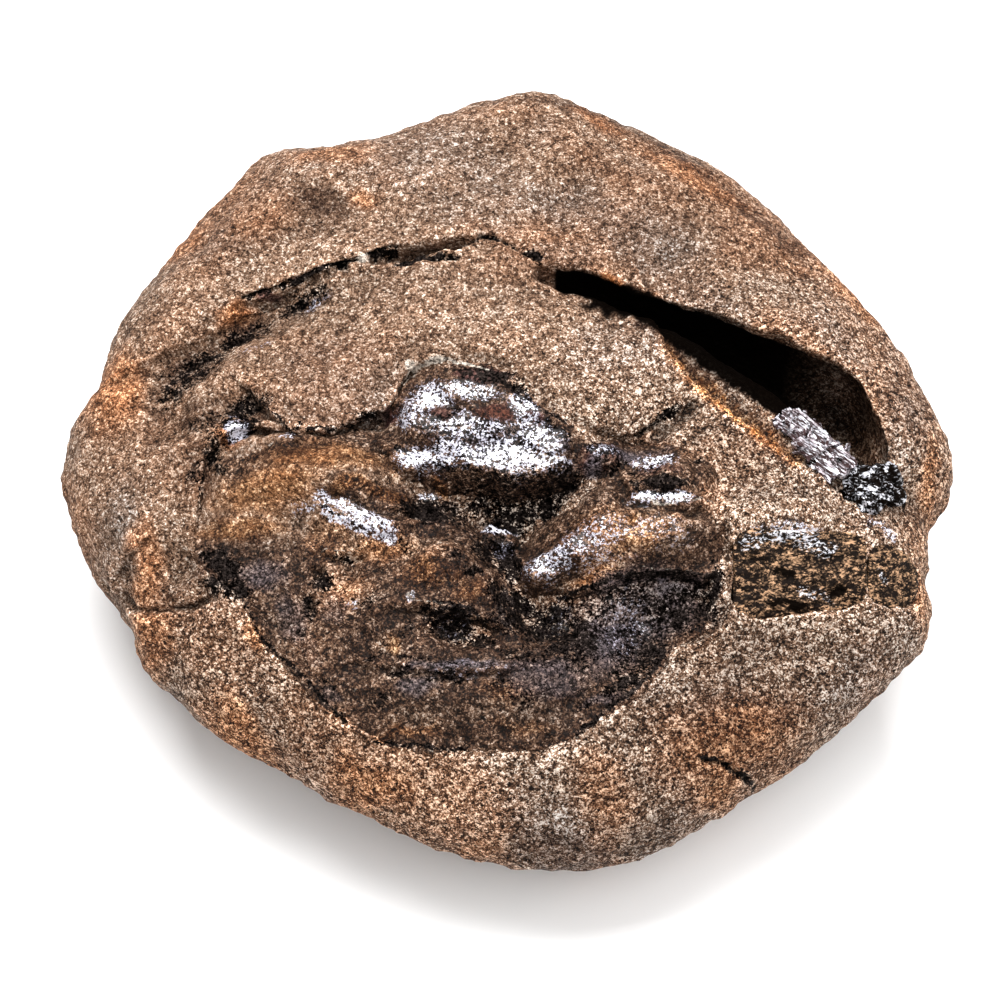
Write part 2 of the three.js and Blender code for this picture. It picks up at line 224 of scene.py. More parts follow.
def wander(places, reach, size, seed):
    """Places moved about sideways, so that an outline drawn on them comes out ragged."""
    moved = places.copy()
    moved[:, 0] += reach * rough(places, size, seed)
    moved[:, 1] += reach * rough(places, size, seed + 40)
    return moved


def dab(places, at, reach, turn=0, soft=0.6):
    """1 in the middle of an ellipse and 0 outside it, with an edge of a given softness."""
    t = math.radians(turn)
    x, y = places[:, 0] - at[0], places[:, 1] - at[1]
    along = (x * math.cos(t) + y * math.sin(t)) / reach[0]
    across = (y * math.cos(t) - x * math.sin(t)) / reach[1]
    return 1 - ease(1 - soft, 1, np.hypot(along, across))


def each_dab(places, marks, soft):
    """Each mark's own dab, as strong as the mark is."""
    for x, y, length, width, strength, *turn in marks:
        yield strength * dab(places, (x, y), (length, width), *turn, soft=soft)


def dabs(places, marks, soft=0.8):
    """Several dabs together, where the strongest one counts."""
    total = np.zeros(len(places))
    for one in each_dab(places, marks, soft):
        total = np.maximum(total, one)
    return total


def beside(places, line):
    """Distance from a line in plan, and the side: positive to the left of its direction."""
    best = np.full(len(places), np.inf)
    side = np.zeros(len(places))
    for (ax, ay), (bx, by) in zip(line, line[1:]):
        dx, dy = bx - ax, by - ay
        x, y = places[:, 0] - ax, places[:, 1] - ay
        share = np.clip((x * dx + y * dy) / (dx * dx + dy * dy), 0, 1)
        away = np.hypot(x - share * dx, y - share * dy)
        nearer = away < best
        best[nearer] = away[nearer]
        side[nearer] = np.sign(dx * y - dy * x)[nearer]
    return best, side


def stroke(places, line, half, soft=0.8):
    """1 along a line and 0 beyond a half-width."""
    return 1 - ease(half * (1 - soft), half, beside(places, line)[0])


def strokes(places, marks, soft=0.8):
    """Several strokes together: (line, half-width, strength)."""
    total = np.zeros(len(places))
    for line, half, strength in marks:
        total = np.maximum(total, strength * stroke(places, line, half, soft))
    return total


def cliff(places, line, drop, width, reach):
    """A step down on the right of a line, that comes level again within a reach."""
    away, side = beside(places, line)
    return np.where(side < 0, -drop * ease(0, width, away) * (1 - ease(width, reach, away)), 0)


def within(places, outline):
    """How far inside a closed outline each place lies, in millimetres: negative outside it."""
    away, _ = beside(places, outline + outline[:1])
    crossed = np.zeros(len(places), dtype=bool)
    for (ax, ay), (bx, by) in zip(outline, outline[1:] + outline[:1]):
        spans = (places[:, 1] > ay) != (places[:, 1] > by)
        at = ax + (places[:, 1] - ay) * (bx - ax) / (by - ay if by != ay else 1)
        crossed ^= spans & (places[:, 0] < at)
    return np.where(crossed, away, -away)


# ---- Lines and marks in plan, in millimetres ----
# A mark is a dab: (x, y, half its length, half its width, strength, its turn if it has one).

SHELL_OUTLINE = [
    (-28.6, -3.2), (-26.8, -2.1), (-24.7, -2.1), (-22.4, -2.5), (-20.3, -3.5), (-17.6, -3.6),
    (-15.8, -2.2), (-14, -1.6), (-12.3, -0.5), (-11, 1.1), (-10.9, 1.8), (-10.2, 3.1), (-8.8, 4),
    (-6.3, 4.5), (-3.8, 4), (-1.6, 3.1), (0.2, 1.6), (1.4, -0.1), (3.2, -1.6), (5.2, -2.5),
    (8.2, -2.9), (10.7, -3.6), (13, -3.9), (15.4, -4.2), (18.3, -5), (20.3, -6.2), (21.1, -7.6),
    (21.2, -12.2), (21.1, -15.8), (20.9, -19.5), (19.3, -22.6), (16.3, -23.7), (15.2, -26.3),
    (13, -28.8), (10.1, -31), (6.7, -32.9), (4.5, -34.3), (1.2, -34.3), (-3.7, -34.3),
    (-7.6, -33.8), (-11, -33.3), (-13.3, -32.7), (-15.4, -31.4), (-17.9, -28.9), (-20.4, -26.4),
    (-23.4, -24), (-24.9, -22), (-26.2, -19.4), (-27.3, -17.9), (-29, -17.2), (-30.7, -14.3),
    (-31.3, -11.6), (-31.3, -10.4), (-30.9, -8.1), (-30.2, -5.6),
]

# The slit behind the shell, and a crack at the front
SLIT_MIDDLE = [(-11.2, 15.9), (-9.5, 16.2), (-6.9, 16.2), (-5.3, 16.2)]
SLIT_RIGHT = [(-5.3, 17.1), (-2.8, 18.7), (-1.3, 18.6), (-0.3, 17.8), (1.3, 17), (2.9, 16.2)]
SLIT_BRANCH = [(-14.1, 16.7), (-12.6, 17.1), (-11.3, 17.4)]
FRONT_CRACK = [(18.7, -34.1), (21, -34.2), (22.6, -34.6), (24.3, -34.5)]

# Grooves in the stone: (line, half-width, depth)
SLITS = [
    ([(-27.1, 13.1), (-25.2, 13.9), (-23.3, 14.5), (-22.1, 14.8)], 0.22, 0.9),
    ([(-22.3, 14.7), (-20.8, 15.2), (-19.3, 15.5)], 0.24, 0.6),
    ([(-19.5, 15.5), (-16.7, 16), (-15.5, 16.3)], 0.3, 1.2), (SLIT_MIDDLE, 0.5, 1.6),
    (SLIT_RIGHT, 0.22, 0.6), (SLIT_BRANCH, 0.3, 0.7),
]
CRACKS = [
    ([(12.8, -3.8), (14.2, -2.5), (15.6, -1.4), (16.9, -0.4)], 0.28, 0.8), (FRONT_CRACK, 0.3, 0.5),
    ([(-39.4, -15.1), (-37.5, -17.6), (-34.2, -18.9), (-30, -18.7)], 0.35, 0.5),
    ([(-26.7, -18.1), (-25.5, -20.2), (-24.2, -22.7), (-22.4, -24.5), (-20.4, -26.2),
      (-18.4, -28.4), (-15.9, -30.9)], 0.3, 0.7),
]
LEDGE_EDGE = [
    (30.6, -6.9), (28.6, -5.7), (26.7, -4), (24.7, -2.5), (22.8, -1), (20.5, 0.9), (18.3, 3.2),
    (15.8, 5.6), (14.3, 11.9),
]
# Steps down on a line's right: (line, drop, width, reach)
STONE_STEPS = [
    ([(-38.7, 7.1), (-35.6, 8.1), (-31.5, 9.5), (-27.9, 11.6), (-25.3, 13.6),
      (-21.4, 15)], 0.6, 0.8, 4),
    ([(12.8, -3.8), (14.2, -2.6), (15.6, -1.5), (17.5, -0.1)], 0.7, 0.4, 2),
    ([(-37.8, -13.3), (-39, -14.2), (-38.5, -16.2), (-35.8, -18.7), (-30, -19)], -0.7, 0.5, 3),
    ([(-25.7, 1.5), (-24.4, 0), (-23, -1.7), (-21.2, -2.8), (-17.6, -3), (-16, -2),
      (-14.3, -1.3), (-12.3, -0.5), (-10.9, 1.5)], 1, 0.4, 4), (LEDGE_EDGE, 0.7, 0.3, 9),
]
STONE_MOUNDS = [(-22.3, -3.2, 7, 1.5, 1)]

# The claw's hollow: its axis, and the outline of its darkness
HOLLOW_START = 4.6
HOLLOW_END = 36.8
HOLLOW_AXIS = [
    (3, 14.8), (11, 11.2), (16, 8.7), (21, 5.8), (25.6, 3.2), (29.8, 0.6), (33.2, -2), (35.6, -4.6),
]
HOLLOW_SHADOW = [
    (12.2, 9.9), (13.4, 8.6), (14.9, 7.5), (16.6, 6.1), (18.4, 4.9), (20.1, 3.8), (22.8, 1.9),
    (25.6, 0.3), (27.7, -1), (29.4, -1.9), (31.3, 0.5), (28.5, 4), (23.5, 6.7), (19.5, 9),
    (15.5, 11.3), (13, 12.5),
]

# Where the nodule's outline is fuller or nicked, and where its rim is shaded
RIM_BULGES = [
    (26, 30.1, 9, 7, 1.45, -40), (18.6, 35.4, 11, 7.5, 1.6, -33), (-37, -21.6, 5.5, 5.5, 1.5),
    (-17.1, -36.3, 8, 5.5, 1.3, -28), (-9.7, -40.1, 8.5, 5.5, 1.8, -22),
    (19.5, -39, 7.5, 5, 1.35, 25), (41.9, -20, 4, 5, 0.85), (-44.1, 7.1, 4, 5, -0.65),
    (43, -13.8, 4, 3, -0.65), (43, 11.1, 4, 4, 0.55),
]
RIM_SHADES = [
    ([(5.6, 37.4), (11.2, 36.1), (16.4, 32.8), (21.5, 27.9), (25.6, 24.5),
      (29.7, 20.2)], 1.9, 0.75),
    ([(25.4, -37.8), (22.4, -40.1), (18.4, -42.9), (13.6, -44.7), (9.1, -41.7),
      (3.2, -42)], 1.6, 0.7),
]

# What colours stone and shell, as dabs and as lines (line, half-width, strength)
# Dark stains, and painted shade: the broad dabs darken the front right, the shell's rear slope and
# the back right rim
STAINS_AND_SHADES = [
    (-3.7, -18.5, 3, 2, 0.9), (23.2, -29.6, 15, 6, 0.85, 15), (-8.5, 17.9, 5, 2, 0.5),
    (-22.5, 20.7, 5, 3, 0.5), (-3.2, -26, 3.4, 1.6, 0.8), (20.7, -19.7, 1.2, 4, 0.9),
    (27.8, -27.3, 14, 5, 0.35, 30), (41.3, -7.6, 2, 3, 0.7), (8.9, -37.8, 8, 5, 0.35),
    (23.2, -4.7, 8, 4, 0.3), (25, -9.3, 9, 1.6, 0.5), (-2.7, -29.6, 17, 6.5, 0.34),
    (-16.4, -25.5, 8, 8, 0.3, 30), (-20.4, -19.7, 6, 8, 0.25), (-8.7, -10, 5, 2.4, 0.9),
    (0.2, -14.1, 5, 3, 0.8, -30), (-18.5, -17.9, 3, 1.8, 0.6), (5.1, -20.9, 5, 3, 0.8),
    (-0.8, -26.7, 6, 2.4, 0.6), (-14.9, -27.6, 3, 2.2, 0.5), (4.1, -32.8, 4, 3, 0.6),
    (20.1, -20.2, 1.8, 4.2, 0.8), (-8.9, 15.7, 4, 1.6, 0.4), (-19.9, 21.1, 5, 3, 0.5, 20),
    (40.5, 2, 3, 6, 0.7, 20), (-27.4, 0.5, 4.5, 3, 0.8), (13.2, -5, 9, 2.4, 0.7),
    (5.1, -42, 12, 2, 0.5), (13, -40.8, 8, 2.6, 0.5, 15), (-19.7, 23.7, 5.4, 3, 0.85, -30),
    (-24.6, 20.3, 5, 2.4, 0.5, 20), (-32.4, 6, 5.6, 3.4, 1.1, 25), (-26.6, 10.1, 4, 2, 1.1, 25),
    (-20.9, 12.9, 3.2, 1.4, 0.85, 15), (-35.5, 3.3, 2.6, 4.4, 0.8), (-30.5, -0.5, 5, 3.4, 0.9),
    (-25.8, -0.6, 3.4, 2.8, 1), (-36.2, -1.8, 1.6, 3, 0.7), (-30.7, -6.2, 2.4, 4.4, 0.9),
    (-29.2, -10.5, 3, 3, 0.5), (-24.4, -13.8, 6.4, 2.2, 0.95), (-29.1, -16.2, 4, 3.4, 1, -30),
    (31.4, 15.6, 1.6, 0.7, 0.9, -20), (-6.9, 18.1, 2, 0.9, 0.6), (40.1, -7.4, 2.6, 1.2, 0.9, -10),
    (20.2, -3.3, 4, 2, 0.5, 20), (5.2, 2.1, 3, 1.4, 0.4), (37.5, 11.7, 1.2, 2.4, 0.5, 40),
    (-33.6, -18.8, 3.4, 1, 0.5, -10), (22.7, -32, 14, 5.5, 0.55, 25), (24.8, -23.9, 9, 3, 0.45, 20),
    (32.9, -24.8, 9, 3, 0.5, 35), (14.9, -24.4, 4, 2, 0.8, 45), (12.9, -39.5, 12, 3, 0.4, 10),
    (-20.4, -31.2, 9, 3, 0.4, -35), (-4.7, -17.7, 5, 3.4, 0.95), (-7.7, -10, 5, 2.2, 1),
    (-5.5, -12.7, 3.4, 2.4, 0.85), (-1.8, -20.4, 4, 4, 0.8), (3.6, -23.9, 6, 5, 0.95),
    (-4.7, -26, 5, 2.2, 0.8), (-11, -23.4, 4, 2.6, 0.55), (-8.5, -29.2, 4, 2, 0.5),
    (5.1, -29.1, 6, 2.4, 0.6), (9, -23.9, 4.4, 6, 0.9, -20), (14.5, -20, 6, 5, 1),
    (18.9, -20.6, 3, 4.6, 1), (17.9, -17.5, 4, 2, 0.8), (6.2, -8, 3, 2, 0.8, 20),
    (-12.5, -17.8, 4, 2, 0.5), (-10.5, -20.7, 4, 2, 0.5), (13.2, -5.5, 8, 2.4, 0.5, -5),
    (5.2, -4.6, 5, 1.6, 0.5, -30), (-11.2, -3.8, 3, 2, 0.4), (-2.8, 2.5, 4.6, 1.4, 0.8, -8),
    (-39.2, -15.6, 1, 3, 0.5, 30), (-2.8, -3.5, 9, 5, 0.6), (-20.6, -6.6, 6, 1.6, 0.6),
    (-1.8, -12.9, 3.4, 4, 1), (14.3, -29.3, 4, 2.4, 0.5, 20), (-19.6, -5.7, 8, 1.8, 1),
    (3.6, -31, 5, 1.8, 0.8), (-6.6, -31, 3.4, 1.6, 0.7), (-13, -32.2, 2.4, 1.6, 0.6),
    (41.8, 4.6, 2, 5, 0.6, 20), (13.9, -40.1, 9, 2.6, 0.6, 10), (14.4, -12.1, 5, 1.4, 0.6),
    (-27.9, -19.4, 2, 1.6, 0.6), (22.7, -32.4, 24, 11, 0.42, 20), (18.9, 22.1, 18, 5, 0.35, -35),
    (-28.1, -13.3, 4, 2, 0.6, -20), (12.4, 42.2, 4, 1.8, 0.8, -25),
    (18.3, 31.9, 4.4, 1.8, 0.8, -33), (24.4, 25.6, 4.4, 1.8, 0.8, -42),
    (29.5, 20.4, 3.4, 1.6, 0.7, -45), (3.5, 37.5, 4, 1.2, 0.6, -10), (-33.7, -16.9, 4, 1.6, 0.7),
    (13.7, 24.6, 14, 3.5, 0.3, -35), (26.1, 18.8, 6, 2, 0.3, -40), (-26.7, 20.5, 7, 2, 0.35, 30),
    (-35.1, 18.2, 3, 3, 0.3), (-18.6, -33.6, 6, 2, 0.25, -30), (-2.9, 38.1, 8, 1.6, 0.3),
]
# Dark lines; along the hollow's ledge they are painted shade
STAIN_AND_SHADE_LINES = [
    ([(13.4, 8.6), (14.9, 7.4), (16.6, 6.1), (18.8, 4.2), (20.5, 2.7)], 1.1, 1.2),
    ([(21.8, 2), (23.7, 0.3), (25.7, -1.3)], 1.1, 0.6),
    ([(28.1, -6.8), (30.6, -7.7), (32.6, -8.5)], 0.5, 0.6),
]
# Paler patches; the broad ones on the split face's middle and on the left rim are painted light
PALE_AND_LIT_PATCHES = [
    (7.1, -18.2, 3.2, 1.3, 1, 20), (20.2, -10.9, 1.8, 3.6, 1), (8, -3.7, 2, 1, 0.8),
    (-14.1, -15.1, 2.4, 1.4, 1), (9.6, 13.9, 3.4, 1.2, 0.8, -25), (38.9, 2.6, 1.5, 5, 0.8, 20),
    (21.2, -14.3, 1, 2, 0.8), (5.3, 6.4, 13, 5.5, 1.2, -15), (-7.8, 9.6, 11, 6, 0.9),
    (-18.3, 20.5, 14, 6, 0.7, 20), (-38, -5.9, 6, 14, 0.6), (-15.8, 0.2, 8, 3, 0.6),
    (-41.1, 2.9, 3, 5, 1.3), (-11.3, 0.7, 2, 2, 0.6), (-7, 25.7, 8, 2.8, 1.3),
    (-2.7, -38.3, 7, 3.5, 0.9), (-16.9, 3.4, 6, 3, 0.4), (13.2, 0.9, 5, 3, 0.8),
    (-40, 9.8, 3, 4, 0.6, 30), (-41.6, 0.5, 2, 5, 0.6), (31.9, 10.5, 4, 1.6, 0.7, -40),
    (39.8, 0.5, 2, 5, 0.6), (26.1, -7.9, 5, 2, 0.5), (34, -11.9, 3, 1.2, 0.8),
    (-37.9, -14.3, 2, 3, 0.8), (-10.5, -34.8, 6, 1.6, 0.5), (6.4, 15.4, 3, 1.4, 0.5),
    (-24.1, -9.5, 9, 3, 1.35, 4), (-28.5, -8.4, 4, 3, 0.8), (-20.6, -8.5, 5, 2, 0.7),
    (-17.6, -13.6, 4, 2, 0.8, -20), (-17, -18.9, 3, 4, 0.7), (-17.7, -5.3, 7, 2.2, 0.5),
    (17.9, -10.9, 4, 1.4, 0.9), (12.9, -14.6, 8, 2.6, 0.5, 5), (33.9, -14.1, 3, 1.4, 0.6),
]
PALE_LINES = [
    ([(-36.4, 7.1), (-34, 8.1), (-31.5, 9.4), (-28, 11.4), (-25.3, 13.6),
      (-22.8, 14.5)], 0.75, 0.85),
]
RUSTS = [
    (-28.9, -22.5, 9, 5, 0.35, -40), (21.7, -32.2, 12, 6, 0.9, 20), (8.9, -38.5, 5, 5, 0.6),
    (20.2, 28.1, 13, 3, 0.8, -33), (9.8, 35.1, 5, 2, 0.8, -25), (16.5, -43.6, 8, 3, 0.9, 20),
    (-8.4, -43.6, 8, 2.4, 0.9, -15), (-26.8, 23.2, 7, 6, 0.6, 30), (-27.4, -2.2, 2.4, 2, 0.9),
    (30.4, 19, 3, 7, 0.5, 40), (36.8, 1.2, 2, 5, 0.5, 20), (-27.5, 11.4, 3, 1.4, 1, 25),
    (-40.7, 4.7, 5, 8, 0.9), (-34, 23.7, 6, 5, 0.8, 40), (-28, 36.8, 7, 3, 0.7, 20),
    (-18.6, 30.9, 8, 4, 0.8), (-15.3, 23.9, 2.6, 2, 0.8), (-36.3, -14.8, 3, 6, 0.8),
    (-35.9, -20.3, 5, 4, 0.8, -45), (-26.7, -29.8, 8, 3, 0.9, -35), (-13.8, -35.7, 9, 3, 0.9, -20),
    (-2.7, -41, 6, 2, 0.6), (20.9, -35.8, 6, 3, 0.9, 30), (35.2, 16.9, 4, 9, 0.9, 40),
    (42.9, -3.7, 2, 8, 0.9), (42, -16.5, 2, 6, 0.7),
]
GREYS = [
    (5.9, 16.1, 7, 3, 1.1), (13.6, 18.5, 10, 6, 1.1, -25), (-16.3, 1.2, 9, 7, 1.1),
    (-38.6, -10.1, 3, 6, 0.9), (34.5, 7.8, 4, 6, 0.9, 45), (7.5, 22.1, 12, 5, 0.9, -20),
    (19.6, 12.5, 9, 3, 0.7, -35), (-17.9, 4, 8, 5, 0.8), (5.1, -40.9, 8, 3, 0.9),
    (11.3, 5.5, 9, 5, 0.5), (35, -25.1, 8, 4, 0.6, 30),
]
OCHRES = [
    ([(10.1, 13.6), (12.2, 12.8), (14.8, 11.7), (16.5, 5), (18.8, 3.3), (20.3, 2.1)], 1.3, 1.1),
    ([(19, 3), (21.3, 0.7), (23.5, -1), (25.4, -2.5), (27.4, -4.4), (28.6, -5.6)], 1.25, 1.3),
]
# Black patches, and painted shade in recesses, under overhangs and in slits
BLACKS_AND_SHADES = [
    (-26.8, 0.1, 2.4, 1.9, 0.75, 25), (-27.6, -1.6, 2.4, 1.6, 0.85, -20),
    (-32.6, 5.2, 5.2, 2.8, 0.62, 30), (-34.2, 3.8, 2.6, 3.2, 0.5), (-29.4, -4.1, 1.8, 3, 0.6),
    (-30.4, -1.4, 3.4, 2, 0.4), (-24.7, 0.5, 1.6, 1.4, 0.6), (-30.2, 6.8, 3.4, 1.8, 0.65, 30),
    (-27.2, 9.6, 4.2, 1.5, 0.7, 25), (-20.9, 13.1, 3.8, 1.7, 0.62, 18),
    (-31.3, -6.1, 1.2, 2.2, 0.4), (-28.6, -5.8, 1, 1.2, 0.6), (-6.7, -3.8, 3.4, 3.8, 0.35),
    (-1.8, -4.9, 9, 3, 0.4, -8), (-1.8, 2.1, 4.4, 1.2, 0.9, -12), (1.2, 0.1, 2, 1.4, 0.9, -45),
    (-13.6, -1.2, 2.2, 0.5, 0.9, 16), (-5.2, -1.6, 1.8, 0.8, 0.6, 20), (-4.4, -6, 1.6, 1, 0.8),
    (-0.8, -8.8, 7.4, 1.6, 0.5, -3), (-2.8, -9.5, 3.6, 1.6, 0.65), (1.2, -9.2, 5, 1.9, 0.62, 6),
    (5.4, -8, 3.4, 1.4, 0.8, 25), (-8.2, -11.3, 2.6, 1.4, 0.85, 10), (-10.2, -10.5, 1, 1.2, 0.8),
    (-5.7, -9.8, 1.8, 1.4, 0.7), (-0.3, -10.8, 3.4, 2, 0.85), (-1.1, -13.9, 1.8, 2.4, 1, 10),
    (0.4, -16, 2, 2.6, 0.9), (-3.7, -17.6, 1.3, 1, 0.8, 20), (1.2, -20, 3, 1.6, 0.9, -20),
    (4, -22.1, 4, 3, 0.85), (4.7, -20.6, 2, 1.6, 0.9), (-8.3, -9.7, 3.6, 1.2, 0.9),
    (-0.5, -14.6, 2.4, 3, 0.9), (-27.7, -17.3, 2.6, 1.2, 0.8, -45),
    (4.8, -3.7, 2.6, 0.7, 0.75, -30), (0.4, -21.6, 3.4, 2.8, 0.85, -20),
    (5.4, -24.2, 3.2, 2.4, 0.7, 20), (2, -25.7, 4, 1.8, 0.55), (1.2, -9.6, 4.2, 1.3, 0.85),
    (20.5, -18.3, 1.2, 3, 0.8), (5.7, -20.2, 2, 1, 0.7), (13, -22.5, 3, 2.4, 0.65),
    (-28.4, -17.7, 3, 1.4, 0.85, -35), (-18.3, -18.3, 1.6, 1.3, 0.85), (-26.8, -1.9, 3, 1.2, 0.8),
    (-1, -19.8, 1.6, 3.2, 0.8), (-5.5, -22.4, 4, 1.7, 0.85, -14), (-2.7, -24.2, 2.8, 1.6, 0.8, -20),
    (-7, -21.8, 2.2, 0.9, 0.65, -14), (-7.9, -10.6, 4.4, 1.5, 1), (3.7, -9.8, 3.4, 1.6, 0.8, 10),
    (-1.8, -14.5, 3, 3, 0.7), (-5.2, -10.6, 2, 2, 0.6), (-9.5, -22.9, 0.6, 1.8, 0.7, -20),
    (-5.2, -16.3, 1.2, 0.8, 0.6), (13, -19.1, 7, 2.2, 0.5), (18.3, -18.6, 4.4, 2, 0.6, -5),
    (9.3, -20.5, 3.4, 2, 0.5, 30), (7.3, -24, 3, 5, 0.8, -20), (15.8, -20.5, 5, 3.4, 0.75),
    (19.4, -20.2, 2, 3, 0.7), (11.5, -25.1, 4, 3, 0.6, 20), (13.7, -24.3, 2.2, 4, 0.75, -15),
    (11.4, -28.2, 3.6, 1, 0.85, 22), (7.5, -30.3, 2.4, 0.8, 0.6, 25), (15.5, -9.7, 4.2, 1, 0.9, -3),
    (9.4, -5.5, 2.8, 1.4, 0.72, -20), (10.4, -6.4, 2.6, 1.4, 0.6), (13.5, -8, 2.6, 1, 0.6),
    (15.9, -0.9, 2.4, 0.45, 1, 42), (16.9, -0.2, 1.2, 0.5, 0.9, 42), (18.9, -6.4, 0.7, 0.5, 1),
    (-18.5, -17.6, 0.9, 1.3, 0.9), (-19.4, -20.3, 1, 1.6, 0.8, 15), (-20.1, -22.7, 0.8, 1.2, 0.5),
    (-10.1, -15, 0.8, 2.6, 0.45, 10), (-13.5, -20.4, 1.4, 1.6, 0.45),
    (-16.1, -15.8, 2.2, 0.5, 0.7, -12), (-10.5, -27.3, 2, 1.1, 0.8, -8),
    (-6.1, -28.1, 4, 1.2, 0.65, -3), (-0.8, -28.8, 1.6, 1, 0.6), (-12.5, -29.6, 1.4, 1.2, 0.4),
    (1.6, -30.2, 2, 1.2, 0.45), (-17.4, -28.1, 1, 2, 0.45, 30), (-28.4, -15.4, 4, 1.7, 1, -38),
    (-26.3, -17.8, 2.2, 1.1, 0.9, -45), (-29.9, -17, 1.2, 0.9, 0.5), (36.4, -7.7, 2.4, 1.9, 0.8),
    (34.1, -8.5, 1.1, 0.9, 1), (39.6, -7.3, 1.8, 1, 0.5, -15), (39.1, -9.7, 1, 0.8, 0.5),
    (2.7, 16.4, 1.1, 0.8, 0.9),
]
# Black lines that paint shade into the slits and cracks
BLACK_AND_SHADE_LINES = [
    ([(-21.7, 14.9), (-19.5, 15.5), (-16.7, 16), (-15.5, 16.3)], 0.26, 1.2),
    ([(-27.1, 13.1), (-25.2, 13.9), (-23.3, 14.5), (-21.7, 14.9)], 0.16, 0.95),
    (FRONT_CRACK, 0.24, 1), (SLIT_MIDDLE, 0.5, 1.3), (SLIT_RIGHT, 0.14, 1),
    (SLIT_BRANCH, 0.22, 0.9),
    ([(5.1, -19), (8.1, -18.9), (10.2, -18.3), (13, -17.7), (15.8, -17.2), (18.9, -17.5),
      (21.1, -16.9)], 0.26, 0.85),
    ([(-0.8, 1.7), (0.2, 0.7), (1.2, -0.4), (2.7, -1.4), (4.2, -2.2), (6, -2.8)], 0.32, 0.95),
    ([(-13, -32.7), (-10.5, -33.4), (-7.6, -33.8), (-3.7, -34.2)], 0.2, 0.8),
    ([(-24.3, -0.1), (-23, -1.7), (-21.2, -2.8), (-17.6, -3), (-16, -2.3), (-15, -1.9)], 0.13, 0.8),
    ([(-26.7, -18.1), (-25.5, -20.2), (-24.2, -23), (-22.4, -24.7), (-20.4, -26.4),
      (-18.4, -28.6), (-15.9, -31)], 0.2, 0.8),
    ([(6.7, -32.9), (8, -32.1), (10.4, -30.1), (12.9, -28.5), (14.7, -25.8),
      (15.3, -23.8)], 0.4, 0.9), ([(13.2, -3.5), (14.4, -2.3), (15.6, -1.4)], 0.2, 0.8),
    ([(-11.2, -4.9), (-8.2, -6.2), (-6.2, -7), (-3.8, -7.4)], 0.3, 0.8),
    ([(-14, -25.9), (-12, -25.2), (-10, -25.8), (-7.6, -26.5), (-3.7, -27.2)], 0.22, 0.7),
    ([(-8.8, -21.4), (-7, -20.9), (-5.5, -21.2), (-3.2, -21.6), (-2.1, -22.5)], 0.2, 0.9),
    ([(-30.4, -6.2), (-30.5, -6.8), (-30.8, -9.2)], 0.2, 0.6),
    ([(21.1, -15.8), (21.3, -19.7), (20.4, -23.8)], 0.16, 0.5),
    ([(-18.6, -10.9), (-16.4, -12.5), (-13.8, -13.5)], 0.3, 0.6),
    ([(12.2, -9.1), (12.8, -10.4), (15, -10.8), (18, -10.6)], 0.22, 0.9),
]

# What colours the shell more than the stone, and where they shine, with painted highlights
SANDS = [
    (-14.4, -15.2, 3.6, 2, 1.2), (8, -3.7, 2.4, 1.2, 1), (20.2, -10.9, 1.8, 3.6, 1.2),
    (-12.8, -2.2, 2.6, 1.2, 1), (7.1, -18.2, 3, 1.2, 1, 20), (-25.9, -3.5, 5.6, 2, 1),
    (-18.6, -6.9, 11, 3.2, 0.9, 3), (-24.1, -9.5, 10, 3.4, 1.2, 4), (-17.6, -11.8, 5, 3, 0.9, -20),
    (-29.8, -8.5, 3, 6, 1.1), (-24.1, -12.8, 8, 2.4, 0.85), (-13.7, -7.5, 6, 2.6, 0.7),
    (-20.4, -23.4, 5, 7, 0.5, 40), (-16.5, -18.9, 5, 4, 0.8), (-10.6, -15.9, 5, 3, 0.6),
    (-6.7, -15.7, 3, 2, 0.7), (-11.7, -24.6, 2.6, 1.6, 0.9), (-2.7, -19.6, 2, 1.4, 0.4),
    (-0.3, -12.2, 1.2, 0.5, 0.8), (12.9, -14.2, 9, 3.4, 0.8, 5), (9, -17.6, 5, 1, 0.9, 8),
    (1.2, -31.4, 9, 2.6, 0.4), (-8.6, -31.6, 7, 2, 0.5), (19.1, -5.3, 3.6, 1.4, 0.8, 10),
    (20.8, -10.1, 1.6, 4, 1),
]
AMBERS = [
    (-11.2, -9.9, 5, 1.2, 1.1, -4), (-15.6, -9.4, 4, 1.4, 0.9, 10), (-18.6, -6.1, 12, 3, 0.9),
    (-24.1, -8.9, 9, 3.4, 0.8), (-6.7, -8.1, 2, 0.9, 0.9, -40), (-26.7, -12, 7, 2, 0.9),
    (-17.6, -14, 5, 3.4, 0.5), (-12.1, -14.9, 5, 2.6, 0.75), (-7.6, -18.3, 5, 2.6, 0.8),
    (-16, -18.9, 4, 2, 0.4), (11, -14.7, 10, 4.4, 0.8, 5), (9, -18.1, 5, 1, 1, 8),
    (-11.3, -24.6, 1.6, 1.4, 0.9), (-1.3, -2.2, 3, 1.3, 0.8), (-3.7, -19.7, 3.4, 2.2, 0.7),
    (-9.5, -32.5, 6, 1, 0.8, -2), (-0.8, -29.6, 5, 2, 0.6), (1.2, -32.5, 7, 1.2, 0.6),
    (-24.7, -22.6, 1.2, 3, 0.6, 20),
]
BLUES = [
    (16.2, -18, 5, 1.4, 0.9), (3.6, -27.9, 7, 3.4, 0.6), (-17, -20.4, 2, 3, 0.45),
    (-5.6, -26.9, 7.5, 0.9, 0.9, -1), (-9, -28.8, 3.4, 1.6, 0.7), (8.4, -6.9, 1.4, 1.6, 1),
    (12, -5.7, 2.4, 1.4, 0.9, -20), (5, -5.3, 2, 1, 0.8), (-2.8, -5, 8, 2.6, 0.4),
    (10.5, -22.2, 6, 9, 0.75, -25), (14.5, -20, 7, 5, 0.7), (-24.3, -16.8, 4, 2.6, 0.7, -25),
    (-21.4, -21.5, 2.4, 4.6, 0.6, 30), (-19.2, -24.8, 2, 2.4, 0.35, 30),
    (8.9, -29.7, 4, 1, 0.6, 20), (-17.4, -28.9, 2, 2, 0.4), (14.2, -5.2, 3.4, 1.2, 0.5),
    (-7.7, -11.3, 2, 1.2, 0.5), (-19.9, -20.7, 0.8, 1.6, 0.5),
]
